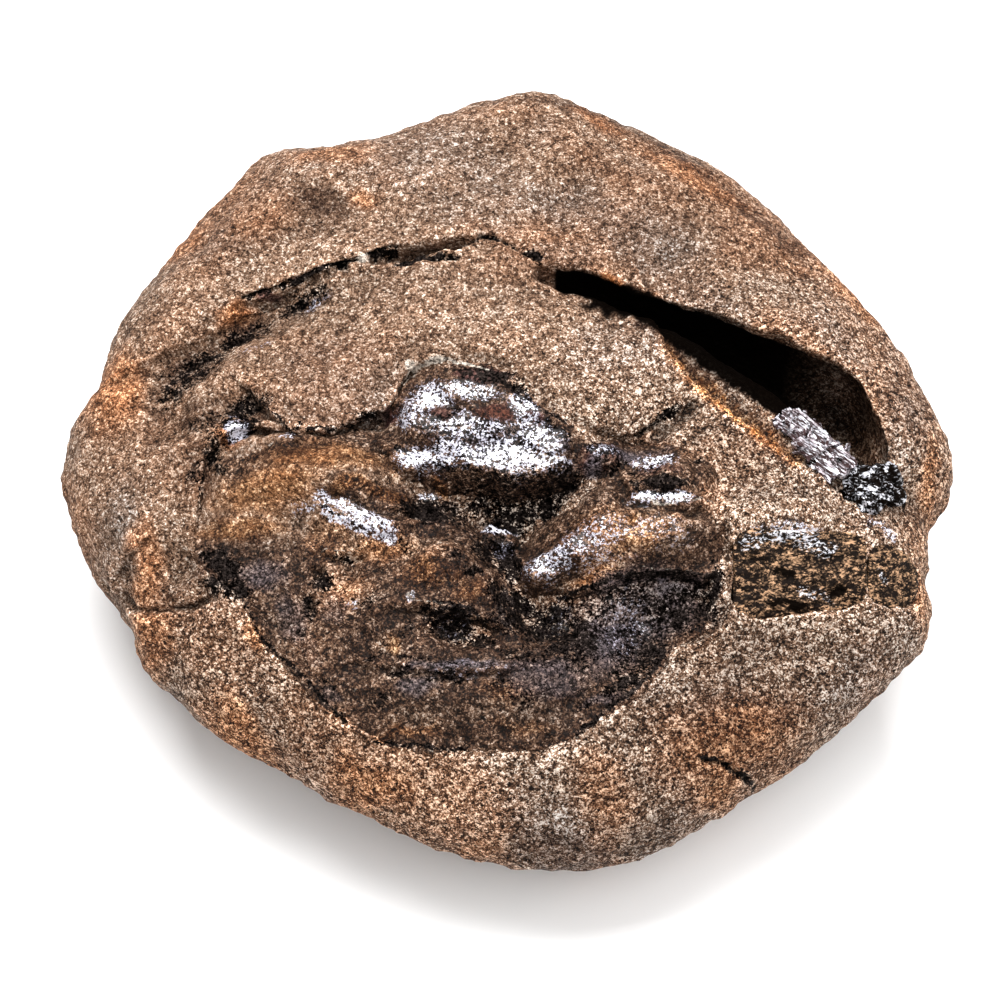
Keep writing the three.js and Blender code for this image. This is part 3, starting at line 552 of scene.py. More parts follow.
MAROONS = [
    (-2.3, 2.2, 5, 1.4, 1, -8), (-11.6, -0.9, 1.2, 1.6, 1), (-1.1, -2.2, 3.4, 1.8, 0.8, -10),
    (-6.6, -1.9, 2.6, 1.6, 0.7), (2.7, -2.4, 2.4, 1.2, 0.8, -40), (9.2, -5.9, 5, 2.6, 0.6),
    (15, -8, 5, 1.6, 0.6), (-7.7, -5.7, 4, 2.4, 0.4), (-24.4, 14, 2.6, 0.6, 1, 12),
    (-21.3, 15, 2.4, 0.5, 0.8, 8),
]
CHALKS = [
    (-9.8, 3.5, 1.3, 1, 0.9, 40), (-25.1, -0.3, 0.8, 1.3, 0.5), (-23.5, -4.3, 0.5, 0.4, 0.9),
    (-17.2, -2.8, 0.9, 0.4, 0.6, 10), (-12.1, -12.7, 1.2, 0.5, 0.7, -20), (-6.7, -15, 2, 0.9, 0.45),
    (-15.3, -20.2, 1, 0.7, 0.6), (-9.8, -20.2, 0.7, 0.8, 0.6, -30), (-14.9, -28.3, 1.1, 0.5, 0.5),
    (-14.7, 16.5, 1.3, 0.7, 1, 15), (-1.6, 18.4, 0.6, 0.4, 0.7), (8, -21.2, 0.7, 1.6, 0.35, -20),
    (7.5, -26.6, 0.5, 1.2, 0.4), (34, -10.7, 2, 0.6, 0.4, -20),
]
CHALK_LINES = [
    ([(-10.6, 2.2), (-9.8, 3.5), (-8.4, 4.1), (-6.3, 4.5), (-3.8, 3.5), (-2, 2.7)], 0.26, 0.9),
    ([(1.9, -17.5), (3.7, -18.3), (6.1, -18.7), (8.1, -18.5), (10.2, -18), (13, -17.3),
      (15.4, -17), (18.9, -17.2)], 0.1, 0.6),
    ([(4.8, -34.5), (6.8, -33.2), (8.7, -32.3), (10.1, -31.5), (10.9, -30.6)], 0.2, 0.7),
    ([(-8.1, -33.9), (-4.6, -34.7), (-0.8, -34.4)], 0.12, 0.5),
    ([(-18.3, -14.8), (-16.7, -15.2), (-15.2, -15.4)], 0.12, 0.8),
    ([(-9.4, -21), (-8.1, -20.7), (-6.6, -21.1), (-5.1, -21.2)], 0.14, 0.7),
    ([(3.2, -6.4), (4.7, -6.7), (6.4, -6.5)], 0.3, 0.7),
    ([(12.8, -11.2), (14.9, -11.7), (17.9, -11.4), (20.2, -10.3)], 0.3, 0.7),
]
# Gloss, and painted highlights where the glints whiten the colour
GLOSS_AND_HIGHLIGHT_DABS = [
    (-27.3, -2.2, 1.7, 1.3, 1), (-0.1, -6.4, 8.6, 2.6, 1, -4), (3.2, -4.6, 4.2, 2.8, 0.85, -25),
    (-5.7, -5.9, 4.4, 2.2, 0.85, 10), (-8, -0.4, 3.6, 4, 0.9), (-3.8, 0.6, 5, 1.8, 0.75, -8),
    (1.2, -2.1, 3.4, 3.2, 0.75, -30), (-3.7, -3.3, 8, 3.4, 0.65), (-9.2, -6.2, 3.2, 1.8, 1, -10),
    (-9.8, -1.5, 2.2, 3, 0.8), (-7.7, -8.7, 1.4, 0.5, 0.9), (4.1, -16.8, 4.2, 2.4, 0.85, 20),
    (8.8, -15.3, 7, 3.8, 0.6, 12), (14.4, -14.5, 7, 2.8, 0.45), (5.2, -6.6, 2.2, 0.9, 0.9),
    (15.4, -11, 5, 1, 1), (14.6, -6.6, 4, 1.7, 0.75), (9.7, -5.4, 2.6, 1.6, 0.6),
    (-0.8, -11.6, 3, 0.9, 0.9), (-0.8, -13.9, 2, 2, 0.4), (-9.6, -20.3, 1, 1, 0.6),
    (-15.3, -20.2, 1.2, 0.9, 0.6), (11.5, -22, 4, 6.5, 0.36, -25), (5.1, -20.7, 3, 4, 0.22),
    (-5.2, -22.5, 3.4, 1.8, 0.25, -10), (-3.7, -27.3, 9, 1.6, 0.3), (-22.3, -3.5, 2, 0.8, 0.6),
    (-20.1, -10.7, 3, 1, 0.5, -10), (36.4, -7.7, 2.6, 2.2, 0.8), (-19.4, 12.6, 2.6, 1.3, 0.5, 20),
    (-25.5, 7.1, 3, 1.2, 0.42, 25), (-27.3, -1.3, 2, 2, 0.4),
]
GLOSS_AND_HIGHLIGHT_LINES = [
    ([(-18.3, -10.1), (-16.1, -11.3), (-14.1, -12.6), (-11.4, -13.4)], 1.2, 0.85),
    ([(-18.1, -11.7), (-16.1, -12.7), (-13.6, -13.9), (-11.4, -14.5)], 0.8, 0.85),
    ([(23.6, -14.4), (25.3, -13.7), (28.9, -12.9), (31.3, -13.6), (32, -14.3)], 1.3, 0.7),
    ([(19.6, 10.1), (21.7, 9.1), (23.1, 8.6)], 0.4, 0.8),
    ([(36.1, -11.1), (37.7, -11.1), (38.4, -12)], 0.7, 0.7),
]
DULLS = [
    (-6.6, -1.8, 2.2, 1.3, 0.95), (-1.2, -2.1, 3, 1.5, 0.95, -10), (-2.8, 2.2, 4.8, 1.2, 0.8, -8),
    (-3.7, -4.5, 1.6, 0.6, 0.6), (11.1, -16, 5, 0.8, 0.6, 10),
]

# The shell's broken steps, given as the stone's, its mounds and dips, and its level facets:
# (place, reach, turn, height, lean)
SHELL_STEPS = [
    ([(-10.9, -5.7), (-8.2, -7.5), (-6.2, -8), (-3.3, -8.5), (-0.8, -8.6), (3.7, -8.2),
      (7.2, -7.5)], 1.7, 0.5, 4.5),
    ([(1, -15), (2, -17.5), (3.7, -18.6), (6.6, -19.1), (9.2, -18.9), (11, -18.2), (13.5, -17.6),
      (15.8, -17.3), (18.9, -17.5), (21.1, -16.6)], 1.8, 0.5, 5.5),
    ([(11.6, -8.8), (12.4, -10.9), (14.4, -11.6), (16.7, -11.7), (18.9, -11.2),
      (20.7, -9.5)], 0.9, 0.4, 2.4),
    ([(-16.1, -9.9), (-14.1, -10.8), (-11.6, -11.2), (-9.5, -10.3), (-7.5, -9.3),
      (-5.9, -7.8)], 0.8, 0.4, 1.6),
    ([(-9.6, -21.1), (-8.1, -21.1), (-6.6, -21.7), (-4.5, -21.6), (-2.7, -22.2)], 1.3, 0.4, 3.5),
    ([(-13.5, -26), (-10.5, -26.5), (-6.6, -27.4), (-2.7, -27.7), (1.2, -27.1)], 0.8, 0.5, 3),
    ([(-18.3, -15), (-17, -15.3), (-15.1, -15.5)], 0.6, 0.3, 1.5),
]
SHELL_MOUNDS = [
    (-21.8, -3.4, 6.5, 1.5, 1), (15.5, -9.8, 4.5, 2, 0.9), (9.2, -5.9, 3.4, 2.2, 0.7),
    (-17.6, -7.8, 10, 3.6, 0.9), (-6.7, -16.7, 4, 3.4, 1), (-1.9, -18.9, 1.6, 2.8, 0.8),
    (-26.4, -3.8, 2.5, 1.6, 0.6), (0.4, -19, 1.4, 2, 0.6), (13, -21.8, 5.5, 6, -1, 20),
    (-0.8, -10.1, 5, 3.6, -1.6), (-8.2, -10.6, 2.2, 1.8, -1), (1.2, -12.7, 2.2, 3, -1),
    (3.6, -21.6, 3.6, 4.2, -1.2), (-4.2, -23.2, 4, 2.4, -0.9), (-18.7, -16.9, 0.8, 1.4, -1),
    (-19.6, -20.2, 1, 1.4, -0.9, 10), (-12.3, -1.1, 3, 1.2, -1, 15),
]
SHELL_FLATS = [
    ((0, -6.8), (7.6, 2.4), -3, 30.4, (0, 0.04)), ((3.7, -4.4), (3.4, 2.2), -25, 30.9, (0, 0.03)),
    ((-7.5, -1.7), (3.8, 3.8), 0, 31.2, (0.03, 0)), ((-3.6, 0.8), (5, 1.9), -6, 31.9, (0, 0.02)),
    ((-9.2, -6.2), (3.2, 1.6), -8, 29.8, (0, 0)),
    ((-15.2, -11.8), (5.6, 1.7), -27, 28.7, (0.06, 0)),
    ((4.2, -16.9), (3.8, 2.1), 18, 27.6, (0.08, 0.05)),
    ((8, -15.4), (4.6, 2.3), 14, 29.3, (0.03, 0.05)),
    ((13.4, -13.9), (6.4, 2.4), 2, 30.2, (-0.03, 0.07)),
    ((15.7, -10.9), (4.8, 1), -2, 30.3, (0, 0)), ((14.1, -6.3), (3.2, 1.1), 0, 29.5, (0, 0)),
    ((-1, -12.2), (2.6, 1.6), 0, 24.9, (0, 0)),
]

# The leg's dark pits, its shine with painted highlights, and where the claw's flake lies
LIMB_BLACKS = [
    (27.3, -16.8, 2.2, 0.9, 1), (32.4, -17.9, 2.2, 0.9, 1, 5), (27.9, -19.5, 5.6, 0.8, 0.95, 6),
    (24.3, -15.9, 2.6, 1.6, 0.65), (31.8, -14.9, 3, 0.9, 0.75, -5), (28.9, -17.8, 5.5, 2.2, 0.45),
    (23.6, -18.7, 1.4, 1.6, 0.5), (37.5, -15.8, 1.4, 1.4, 0.35), (39.1, -16.9, 1, 1.6, 0.4),
    (37.2, -17.4, 1.2, 1, 0.35),
]
LIMB_GLOSS_AND_HIGHLIGHT_LINES = [
    ([(23.3, -14.7), (25.3, -14.1), (28.3, -13.6), (30.3, -14.1), (31.8, -14.6)], 1.2, 0.7),
    ([(28.9, -18.2), (31.9, -18.7)], 0.7, 0.5), ([(36.8, -16.2), (37.4, -16.6)], 0.6, 0.6),
]
FLAKE_CORNERS = ((26.4, -1), (29.5, 0), (35.1, -5.8), (32.1, -8))


# ---- What is carved and painted, on stone and shell alike ----


def over_rim(places):
    """How far a place lies over the nodule's widest line, in millimetres."""
    return places[:, 2] - RIM_HEIGHT - FACE_TILT * places[:, 1]


def on_top(places):
    """1 on the split face and 0 on the belly."""
    return ease(-2, 1.5, over_rim(places))


def belly_shade(places):
    """How much darker the nodule turns below its widest line."""
    return 0.5 * ease(3.5, -3, over_rim(places))


def inside_shell(places):
    """How far inside the shell's ragged outline a place lies, in millimetres."""
    return within(wander(places, 0.25, 1.0, 57), SHELL_OUTLINE)


def level_off(places, at, reach, turn, height, lean):
    """The rise that brings an ellipse of a surface to a gently leaning plane."""
    plane = height + lean[0] * (places[:, 0] - at[0]) + lean[1] * (places[:, 1] - at[1])
    return (plane - places[:, 2]) * dab(places, at, reach, turn, soft=0.45)


def under_face(places):
    """How far below the split face a place in the claw's hollow lies, in millimetres."""
    face = FACE_HEIGHT + 0.06 * places[:, 1] - 0.0028 * places[:, 0] ** 2
    return face - places[:, 2]


def hollow_depth(places):
    """Painted shade for the claw's hollow: 1 in its dark, and 0 on its lit ledge and its plugged
    left end.
    """
    away, side = beside(places, HOLLOW_AXIS)
    x = places[:, 0]
    opened = ease(HOLLOW_START, HOLLOW_START + 0.5, x) * (1 - ease(HOLLOW_END, HOLLOW_END + 1.5, x))
    opened *= 1 - 0.36 * ease(25, 35, x)  # the end wall is brown
    ragged = under_face(places) + 0.2 * rough(places, 0.9, 112, 2)
    lit = np.where(side > 0, 1.0, 0.9)
    far = np.where(side > 0, 6.4, 4.2)
    deep = opened * (1 - ease(far, far + 1.4, away)) * ease(lit, lit + 0.5, ragged)
    shadow = within(wander(places, 0.15, 0.8, 113), HOLLOW_SHADOW)
    return np.maximum(deep, ease(-0.1, 0.4, shadow))


def shift_hollow_walls(places):
    """Brings the hollow's front wall back to a ledge, and its back wall outwards at the middle."""
    away, side = beside(places, HOLLOW_AXIS)
    across, x = away * side, places[:, 0]
    ledge = (1.6 * ease(3, 9, x) + 0.8 * ease(9, 21, x)) * (1 - ease(35, 38, x))
    ledge *= ease(-6.5, -3.5, across) * (1 - ease(-1.5, 3, across))
    back = 0.8 * ease(4, 9, x) + 0.4 * ease(24, 28, x) + 0.7 * ease(29, 33, x)
    back *= (1 - ease(34, 38, x)) * ease(1.0, 3.0, across) * (1 - ease(4.5, 9.5, across))
    shift = (ledge + back) * ease(11, 15, places[:, 2])
    return places + shift[:, None] * np.array((0.5, 0.87, 0.0))


def fill_out_rim(places):
    """Moves the rim out where the stone is fuller, and in where it is nicked."""
    outward = places[:, :2] / np.hypot(places[:, 0], places[:, 1])[:, None].clip(1)
    moved = places.copy()
    moved[:, :2] += outward * sum(each_dab(places, RIM_BULGES, 1.0))[:, None]
    return moved


def slit_filling(places):
    """The rise that leaves the slit's left end as a shallow step."""
    x, y, z = places.T
    slope = 29.3 + 0.4 * (x + 21.8) - 0.9 * (15 - y)  # rises to the right and to the back
    there = ease(-25, -23, x) * (1 - ease(-19.5, -17.5, x))
    there *= ease(12.4, 13.0, y) * (1 - ease(15.8, 16.2, y))
    return np.maximum(slope - z, 0) * there * (z > 24)


def paint_all(piece, base, fine_rounds, broad_rounds):
    """Paints every mask that the finishes read, from the places before the fine roughness."""
    # Relief masks for painted light on crests and painted shade in creases and dips
    paint_relief(piece, "crest_shading", fine_rounds, 0.5)
    paint_relief(piece, "swell_shading", broad_rounds, 1.6)
    top = on_top(base)
    broad = wander(base, 1.0, 4.0, 21)
    close = wander(base, 0.45, 1.6, 75)
    tight = wander(base, 0.18, 0.9, 27)
    pale_lines = strokes(close, PALE_LINES)
    # Stains, together with painted shade from the broad dabs, below the widest line and along the
    # rim
    stain_and_shade = np.maximum(dabs(broad, STAINS_AND_SHADES) * (1 - pale_lines), strokes(close, STAIN_AND_SHADE_LINES))
    shade = np.maximum(belly_shade(base), strokes(close, RIM_SHADES))
    paint(piece, "stain_and_shade", np.maximum(stain_and_shade * top, shade))
    rust = 0.45 * ease(-0.2, 0.9, rough(base, 12.0, 31))
    paint(piece, "rust", np.maximum(rust, dabs(broad, RUSTS)))
    grey = 0.6 * ease(0.0, 0.9, rough(base, 10.0, 35))
    paint(piece, "grey", np.maximum(grey, dabs(broad, GREYS)))
    # Black shell and stone, with painted shade in recesses, under overhangs and in slits and cracks
    black_and_shade = np.maximum(dabs(close, BLACKS_AND_SHADES, 0.75), strokes(tight, BLACK_AND_SHADE_LINES, 0.6))
    # Pale patches, with painted light on the split face's middle and the left rim
    pale = np.maximum(dabs(wander(base, 1.5, 6.0, 25), PALE_AND_LIT_PATCHES, 0.95), pale_lines)
    chalk = np.maximum(dabs(close, CHALKS), strokes(tight, CHALK_LINES))
    gloss_and_highlight = np.maximum(dabs(close, GLOSS_AND_HIGHLIGHT_DABS), strokes(close, GLOSS_AND_HIGHLIGHT_LINES))
    for name, mask in (
        ("black_and_shade", black_and_shade), ("pale", pale), ("chalk", chalk),
        ("gloss_and_highlight", gloss_and_highlight * (1 - dabs(close, DULLS))),
        ("maroon", dabs(close, MAROONS)), ("ochre", strokes(close, OCHRES)),
        ("amber", dabs(close, AMBERS)), ("blue", dabs(close, BLUES)),
    ):
        paint(piece, name, mask * top)
    # Painted shade inside the claw's hollow
    paint(piece, "hollow_shade", hollow_depth(base))
    paint(piece, "coarse", ease(-12, 18, 0.5 * base[:, 0] - base[:, 1]))
    return close


# ---- The stone ----


def make_stone():
    stone = copy_node("nodule", "sandstone_nodule")
    filling = copy_node("carapace", "stone_under_the_shell")
    widen(filling, 0.4)
    pick(stone)
    filling.select_set(True)
    bpy.ops.object.join()
    remesh(stone, STONE_MESH)
    thin_out(stone, on_top(points(stone)) < 0.02, keep=0.62)
    places = relax(stone, fill_out_rim(shift_hollow_walls(points(stone))), 3)
    place(stone, places)
    out = facing(stone)
    places[:, 2] += slit_filling(places)
    base = places.copy()
    top = on_top(base) * ease(0.1, 0.4, out[:, 2])
    loose = wander(base, 0.2, 1.2, 19)
    lumps = 0.30 * rough(base, 7.0, 3) + 0.17 * rough(base, 2.2, 8) + 0.13 * grit(base, 0.8, 15)
    edge = 1 - ease(1.0, 4.0, np.abs(over_rim(base)))
    lumps += 0.2 * edge * grit(base, 1.0, 16)
    for line, half, depth in SLITS + CRACKS:
        lumps -= top * depth * stroke(loose, line, half, 0.9)
    for line, drop, width, reach in STONE_STEPS:
        lumps += top * cliff(loose, line, drop, width, reach)
    lumps += top * dabs(loose, STONE_MOUNDS, 0.9)
    low = ease(1.0, 3.5, places[:, 2])  # the patch it rests on stays flat
    places += out * (lumps * (0.25 + 0.75 * low))[:, None]
    sunk = ease(0.0, 1.4, inside_shell(base))
    places[:, 2] = np.maximum(places[:, 2] - top * 1.3 * sunk, 0)
    place(stone, places)
    paint_all(stone, base, 5, 30)
    paint(stone, "sand", np.ones(len(base)))
    return stone


# ---- The crab ----


def make_shell():
    shell = copy_node("carapace", "crab_carapace")
    widen(shell, 0.7)
    remesh(shell, SHELL_MESH)
    thin_out(shell, facing(shell)[:, 2] < -0.2, keep=0.7)
    places = smooth(shell, 6)
    top = ease(0.1, 0.5, facing(shell)[:, 2])
    base = places.copy()
    loose = wander(base, 0.35, 1.4, 51)
    for line, drop, width, reach in SHELL_STEPS:
        places[:, 2] += cliff(loose, line, drop, width, reach) * top
    places[:, 2] += sum(each_dab(loose, SHELL_MOUNDS, 0.9)) * top
    for flat in SHELL_FLATS:
        loose[:, 2] = places[:, 2]
        places[:, 2] += level_off(loose, *flat) * top
    calm = 1 - 0.6 * dabs(base, GLOSS_AND_HIGHLIGHT_DABS)
    rise = (0.32 * rough(base, 2.8, 61) + 0.17 * rough(base, 0.9, 66, 2)) * calm
    rise -= 2.2 * ease(0.0, 1.2, -inside_shell(base))
    places[:, 2] += rise * top
    place(shell, places)
    close = paint_all(shell, base, 6, 40)
    sand = 0.3 * ease(0.2, 0.9, rough(base, 4.0, 77))
    paint(shell, "sand", np.maximum(dabs(close, SANDS), sand))
    return shell


def make_limb(node, name):
    limb = copy_node(node, name)
    widen(limb, 0.4)
    remesh(limb, LIMB_MESH)
    places = smooth(limb, 3)
    close = wander(places, 0.4, 1.2, 93)
    furrows = 0.3 * rough(places * (0.3, 1, 1), 1.2, 91)
    places[:, 2] += furrows * ease(0.1, 0.5, facing(limb)[:, 2])
    place(limb, places)
    paint_relief(limb, "crest_shading", 8, 0.5)
    paint(limb, "black_and_shade", dabs(close, LIMB_BLACKS))
    paint(limb, "gloss_and_highlight", strokes(close, LIMB_GLOSS_AND_HIGHLIGHT_LINES))
    return limb


def make_flake():
    """The flake lies on the hollow's ledge: a thin ridged sheet between four corners."""
    bpy.ops.object.select_all(action="DESELECT")
    bpy.ops.mesh.primitive_grid_add(x_subdivisions=110, y_subdivisions=44, size=1)
    flake = bpy.context.view_layer.objects.active
    flake.name = flake.data.name = "claw_shell_flake"
    share = points(flake) * MM + 0.5
    a, b, c, d = (np.array(corner) for corner in FLAKE_CORNERS)
    along = share[:, :1] + 0.06 * rough(share * (1, 4, 1), 0.3, 101)[:, None]
    across = share[:, 1:2] + 0.06 * rough(share * (2, 1, 1), 0.25, 102)[:, None]
    near, far = (1 - along) * a + along * d, (1 - along) * b + along * c
    ridges = 0.12 * rough(share * (1, 5, 1), 0.5, 103) + 0.07 * rough(share, 0.12, 104)
    height = FLAKE_HEIGHT - 0.75 * along[:, 0] + 0.25 * np.sin(np.pi * across[:, 0]) + ridges
    place(flake, np.column_stack([(1 - across) * near + across * far, height]))
    modify(flake, "SOLIDIFY", thickness=0.9 * MM, offset=-1)
    paint_relief(flake, "crest_shading", 8, 0.3)
    paint(flake, "black_and_shade", ease(0.3, 0.8, rough(points(flake), 1.6, 105, 2)))
    paint(flake, "gloss_and_highlight", np.full(len(flake.data.vertices), 0.5))
    return flake


def make_knuckle():
    knuckle = copy_node("claw_knuckle", "claw_shell_knuckle")
    low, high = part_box("claw_knuckle")
    resize(knuckle, (1.25, 1.3, 0.6), ((low[0] + high[0]) / 2, (low[1] + high[1]) / 2, low[2]))
    remesh(knuckle, KNUCKLE_MESH)
    places = smooth(knuckle, 3)
    for size, height, seed in ((2.0, 0.9, 93), (0.8, 0.5, 94)):
        places = places + facing(knuckle) * (height * rough(places, size, seed, 2))[:, None]
        place(knuckle, places)
    paint_relief(knuckle, "crest_shading", 8, 0.5)
    paint(knuckle, "black_and_shade", np.full(len(places), 0.8))
    paint(knuckle, "gloss_and_highlight", 0.3 + 0.6 * ease(-0.2, 0.7, rough(places, 0.8, 95)))
    return knuckle


# ---- Finishes ----

VARNISH = {"IOR": 1.38, "Specular IOR Level": 0.2, "Coat IOR": 2.1, "Coat Roughness": 0.14}

# Colours over the shade of the grain, from dark to pale
SAND_STOPS = [
    (0.32, (0.005, 0.003, 0.002)), (0.50, (0.052, 0.026, 0.015)), (0.64, (0.155, 0.085, 0.051)),
    (0.80, (0.33, 0.21, 0.142)), (0.97, (0.80, 0.67, 0.56)),
]
SHELL_STOPS = [
    (0.46, (0.005, 0.0025, 0.0016)), (0.55, (0.028, 0.0125, 0.0072)), (0.63, (0.095, 0.048, 0.028)),
    (0.71, (0.27, 0.165, 0.108)), (0.79, (0.66, 0.50, 0.40)),
]
# Painted highlights, from their lilac edges to their white cores
PAINTED_HIGHLIGHT_STOPS = [(0.0, (0.20, 0.17, 0.22)), (0.5, (0.44, 0.43, 0.53)), (1.0, (0.86, 0.86, 0.95))]

# Tints that multiply a colour
RUST_TINT = (1.28, 0.86, 0.56)
GREY_TINT = (0.83, 0.94, 1.08)
# Darkens stains and painted shade
STAIN_AND_SHADE_TINT = (0.20, 0.155, 0.14)
OCHRE_TINT = (1.25, 0.76, 0.34)
AMBER_TINT = (1.14, 0.88, 0.60)

WINE = (0.055, 0.022, 0.020)
LILAC = (0.060, 0.054, 0.064)
BLACK_AND_SHADE_COLOUR = (0.012, 0.009, 0.008)
CHALK = (0.70, 0.62, 0.53)
HOLLOW_SHADE_BLACK = (0.003, 0.002, 0.0015)
LIMB_BLACK = (0.005, 0.003, 0.002)
# Painted highlight on the leg and the claw
PAINTED_HIGHLIGHT_SILVER = (0.80, 0.80, 0.87)


class Wires:
    """Adds nodes to a node tree and joins them."""

    def __init__(self, tree):
        self.tree = tree

    def node(self, kind, inputs=None, **settings):
        made = self.tree.nodes.new(kind)
        for key, value in settings.items():
            setattr(made, key, value)
        for key, value in (inputs or {}).items():
            self.feed(made.inputs[key], value)
        return made

    def feed(self, socket, value):
        if isinstance(value, bpy.types.NodeSocket):
            self.tree.links.new(value, socket)
        elif isinstance(value, (tuple, list)) and len(value) == 3 and socket.type == "RGBA":
            socket.default_value = (*value, 1)
        else:
            socket.default_value = value

    def noise(self, vector, size, detail=3.0, roughness=0.55):
        """Noise with lumps of about a size in millimetres."""
        return self.node("ShaderNodeTexNoise", {
            "Vector": vector, "Scale": 1 / (size * MM), "Detail": detail, "Roughness": roughness,
        }).outputs["Fac"]

    def cells(self, vector, size):
        """A random value per cell, and the distance to the cell's middle."""
        made = self.node("ShaderNodeTexVoronoi", {"Vector": vector, "Scale": 1 / (size * MM)})
        split = self.node("ShaderNodeSeparateColor", {"Color": made.outputs["Color"]})
        return split.outputs["Red"], made.outputs["Distance"]

    def math(self, operation, a, b=0.0):
        made = self.node("ShaderNodeMath", operation=operation)
        self.feed(made.inputs[0], a)
        self.feed(made.inputs[1], b)
        return made.outputs[0]

    def times(self, a, b):
        return self.math("MULTIPLY", a, b)

    def larger(self, a, b):
        return self.math("MAXIMUM", a, b)

    def sum(self, *terms):
        """Adds values, each given with its weight."""
        total = None
        for value, weight in terms:
            part = self.times(value, weight)
            total = part if total is None else self.math("ADD", total, part)
        return total

    def fade(self, value, low, high, out_low=0.0, out_high=1.0):
        return self.node("ShaderNodeMapRange", {
            "Value": value, "From Min": low, "From Max": high,
            "To Min": out_low, "To Max": out_high,
        }).outputs["Result"]

    def blend(self, amount, a, b, how="MIX"):
        made = self.node("ShaderNodeMix", data_type="RGBA", blend_type=how)
        sockets = {socket.identifier: socket for socket in made.inputs}
        self.feed(sockets["Factor_Float"], amount)
        self.feed(sockets["A_Color"], a)
        self.feed(sockets["B_Color"], b)
        return {socket.identifier: socket for socket in made.outputs}["Result_Color"]

    def tint(self, amount, colour, by):
        """Multiplies a colour by another, as far as an amount."""
        return self.blend(amount, colour, self.blend(1.0, colour, by, "MULTIPLY"))

    def brighten(self, colour, value):
        """Multiplies a colour by a value."""
        grey = self.node("ShaderNodeCombineColor", {"Red": value, "Green": value, "Blue": value})
        return self.blend(1.0, colour, grey.outputs[0], "MULTIPLY")

    def ramp(self, value, stops):
        made = self.node("ShaderNodeValToRGB", {"Fac": value})
        elements = made.color_ramp.elements
        while len(elements) < len(stops):
            elements.new(0.5)
        for element, (position, colour) in zip(elements, stops):
            element.position = position
            element.color = (*colour, 1)
        return made.outputs["Color"]

    def mask(self, name):
        return self.node("ShaderNodeAttribute", attribute_name=name).outputs["Fac"]

    def patches(self, name, texture, weight, low, high, full=1.0):
        """A painted mask that a texture breaks up."""
        mixed = self.sum((self.mask(name), 1.0), (texture, weight))
        return self.fade(mixed, low, high, 0.0, full)

    def relief(self, shader, height, depth):
        bump = self.node("ShaderNodeBump", {"Distance": depth * MM, "Height": height})
        self.feed(shader.inputs["Normal"], bump.outputs["Normal"])


def group(name, inputs, outputs):
    """A shader node group with named sockets: kinds are FLOAT, COLOR or VECTOR."""
    tree = bpy.data.node_groups.new(name, "ShaderNodeTree")
    kinds = {"FLOAT": "NodeSocketFloat", "COLOR": "NodeSocketColor", "VECTOR": "NodeSocketVector"}
    for socket, kind in inputs.items():
        tree.interface.new_socket(socket, in_out="INPUT", socket_type=kinds[kind])
    for socket, kind in outputs.items():
        tree.interface.new_socket(socket, in_out="OUTPUT", socket_type=kinds[kind])
    wires = Wires(tree)
    return wires, wires.node("NodeGroupInput").outputs, wires.node("NodeGroupOutput").inputs


def sand_grain():
    """Sand grains of several sizes: how pale each is, and how high the surface stands."""
    wires, given, out = group(
        "sand_grain", {"Place": "VECTOR"}, {"Shade": "FLOAT", "Height": "FLOAT"})
    large, large_away = wires.cells(given["Place"], 0.48)
    middle, middle_away = wires.cells(given["Place"], 0.25)
    fine, _ = wires.cells(given["Place"], 0.13)
    cloud = wires.noise(given["Place"], 0.9, 4.0, 0.7)
    wires.feed(out["Shade"], wires.sum(
        (large, 0.20), (middle, 0.30), (fine, 0.42), (cloud, 0.5), (large_away, -0.12)))
    wires.feed(out["Height"], wires.sum(
        (cloud, 1.4), (large_away, -0.6), (middle_away, -0.3), (middle, 0.15)))
    return wires.tree


def sandstone_colour():
    """The colour of sandstone from its grain's shade, tinted by rust and by grey."""
    wires, given, out = group(
        "sandstone_colour", dict.fromkeys(("Shade", "Rust", "Grey"), "FLOAT"), {"Colour": "COLOR"})
    colour = wires.tint(given["Rust"], wires.ramp(given["Shade"], SAND_STOPS), RUST_TINT)
    wires.feed(out["Colour"], wires.tint(given["Grey"], colour, GREY_TINT))
    return wires.tree


def use_group(wires, tree, inputs):
    made = wires.node("ShaderNodeGroup")
    made.node_tree = tree
    for key, value in inputs.items():
        wires.feed(made.inputs[key], value)
    return made.outputs


def new_finish(name, constants):
    """A material with constants on its shader's sockets, ready to be wired."""
    material = bpy.data.materials.new(name)
    material.use_nodes = True
    shader = material.node_tree.nodes["Principled BSDF"]
    for socket, value in constants.items():
        shader.inputs[socket].default_value = value
    return material, Wires(material.node_tree), shader


def glitter(wires, where, grains, amount):
    """Bright crinkles and points, where a wet rough surface catches the light: they weight the coat
    and are painted into the colour as highlights.
    """
    folds = wires.math("ABSOLUTE", wires.math("SUBTRACT", wires.noise(where, 0.55, 2.0, 0.6), 0.5))
    fine = wires.noise(where, 0.4, 3.0, 0.6)
    light = wires.sum((grains["Shade"], 0.55), (folds, -1.9), (fine, 0.5), (amount, 0.3))
    return wires.fade(light, 0.69, 0.82)


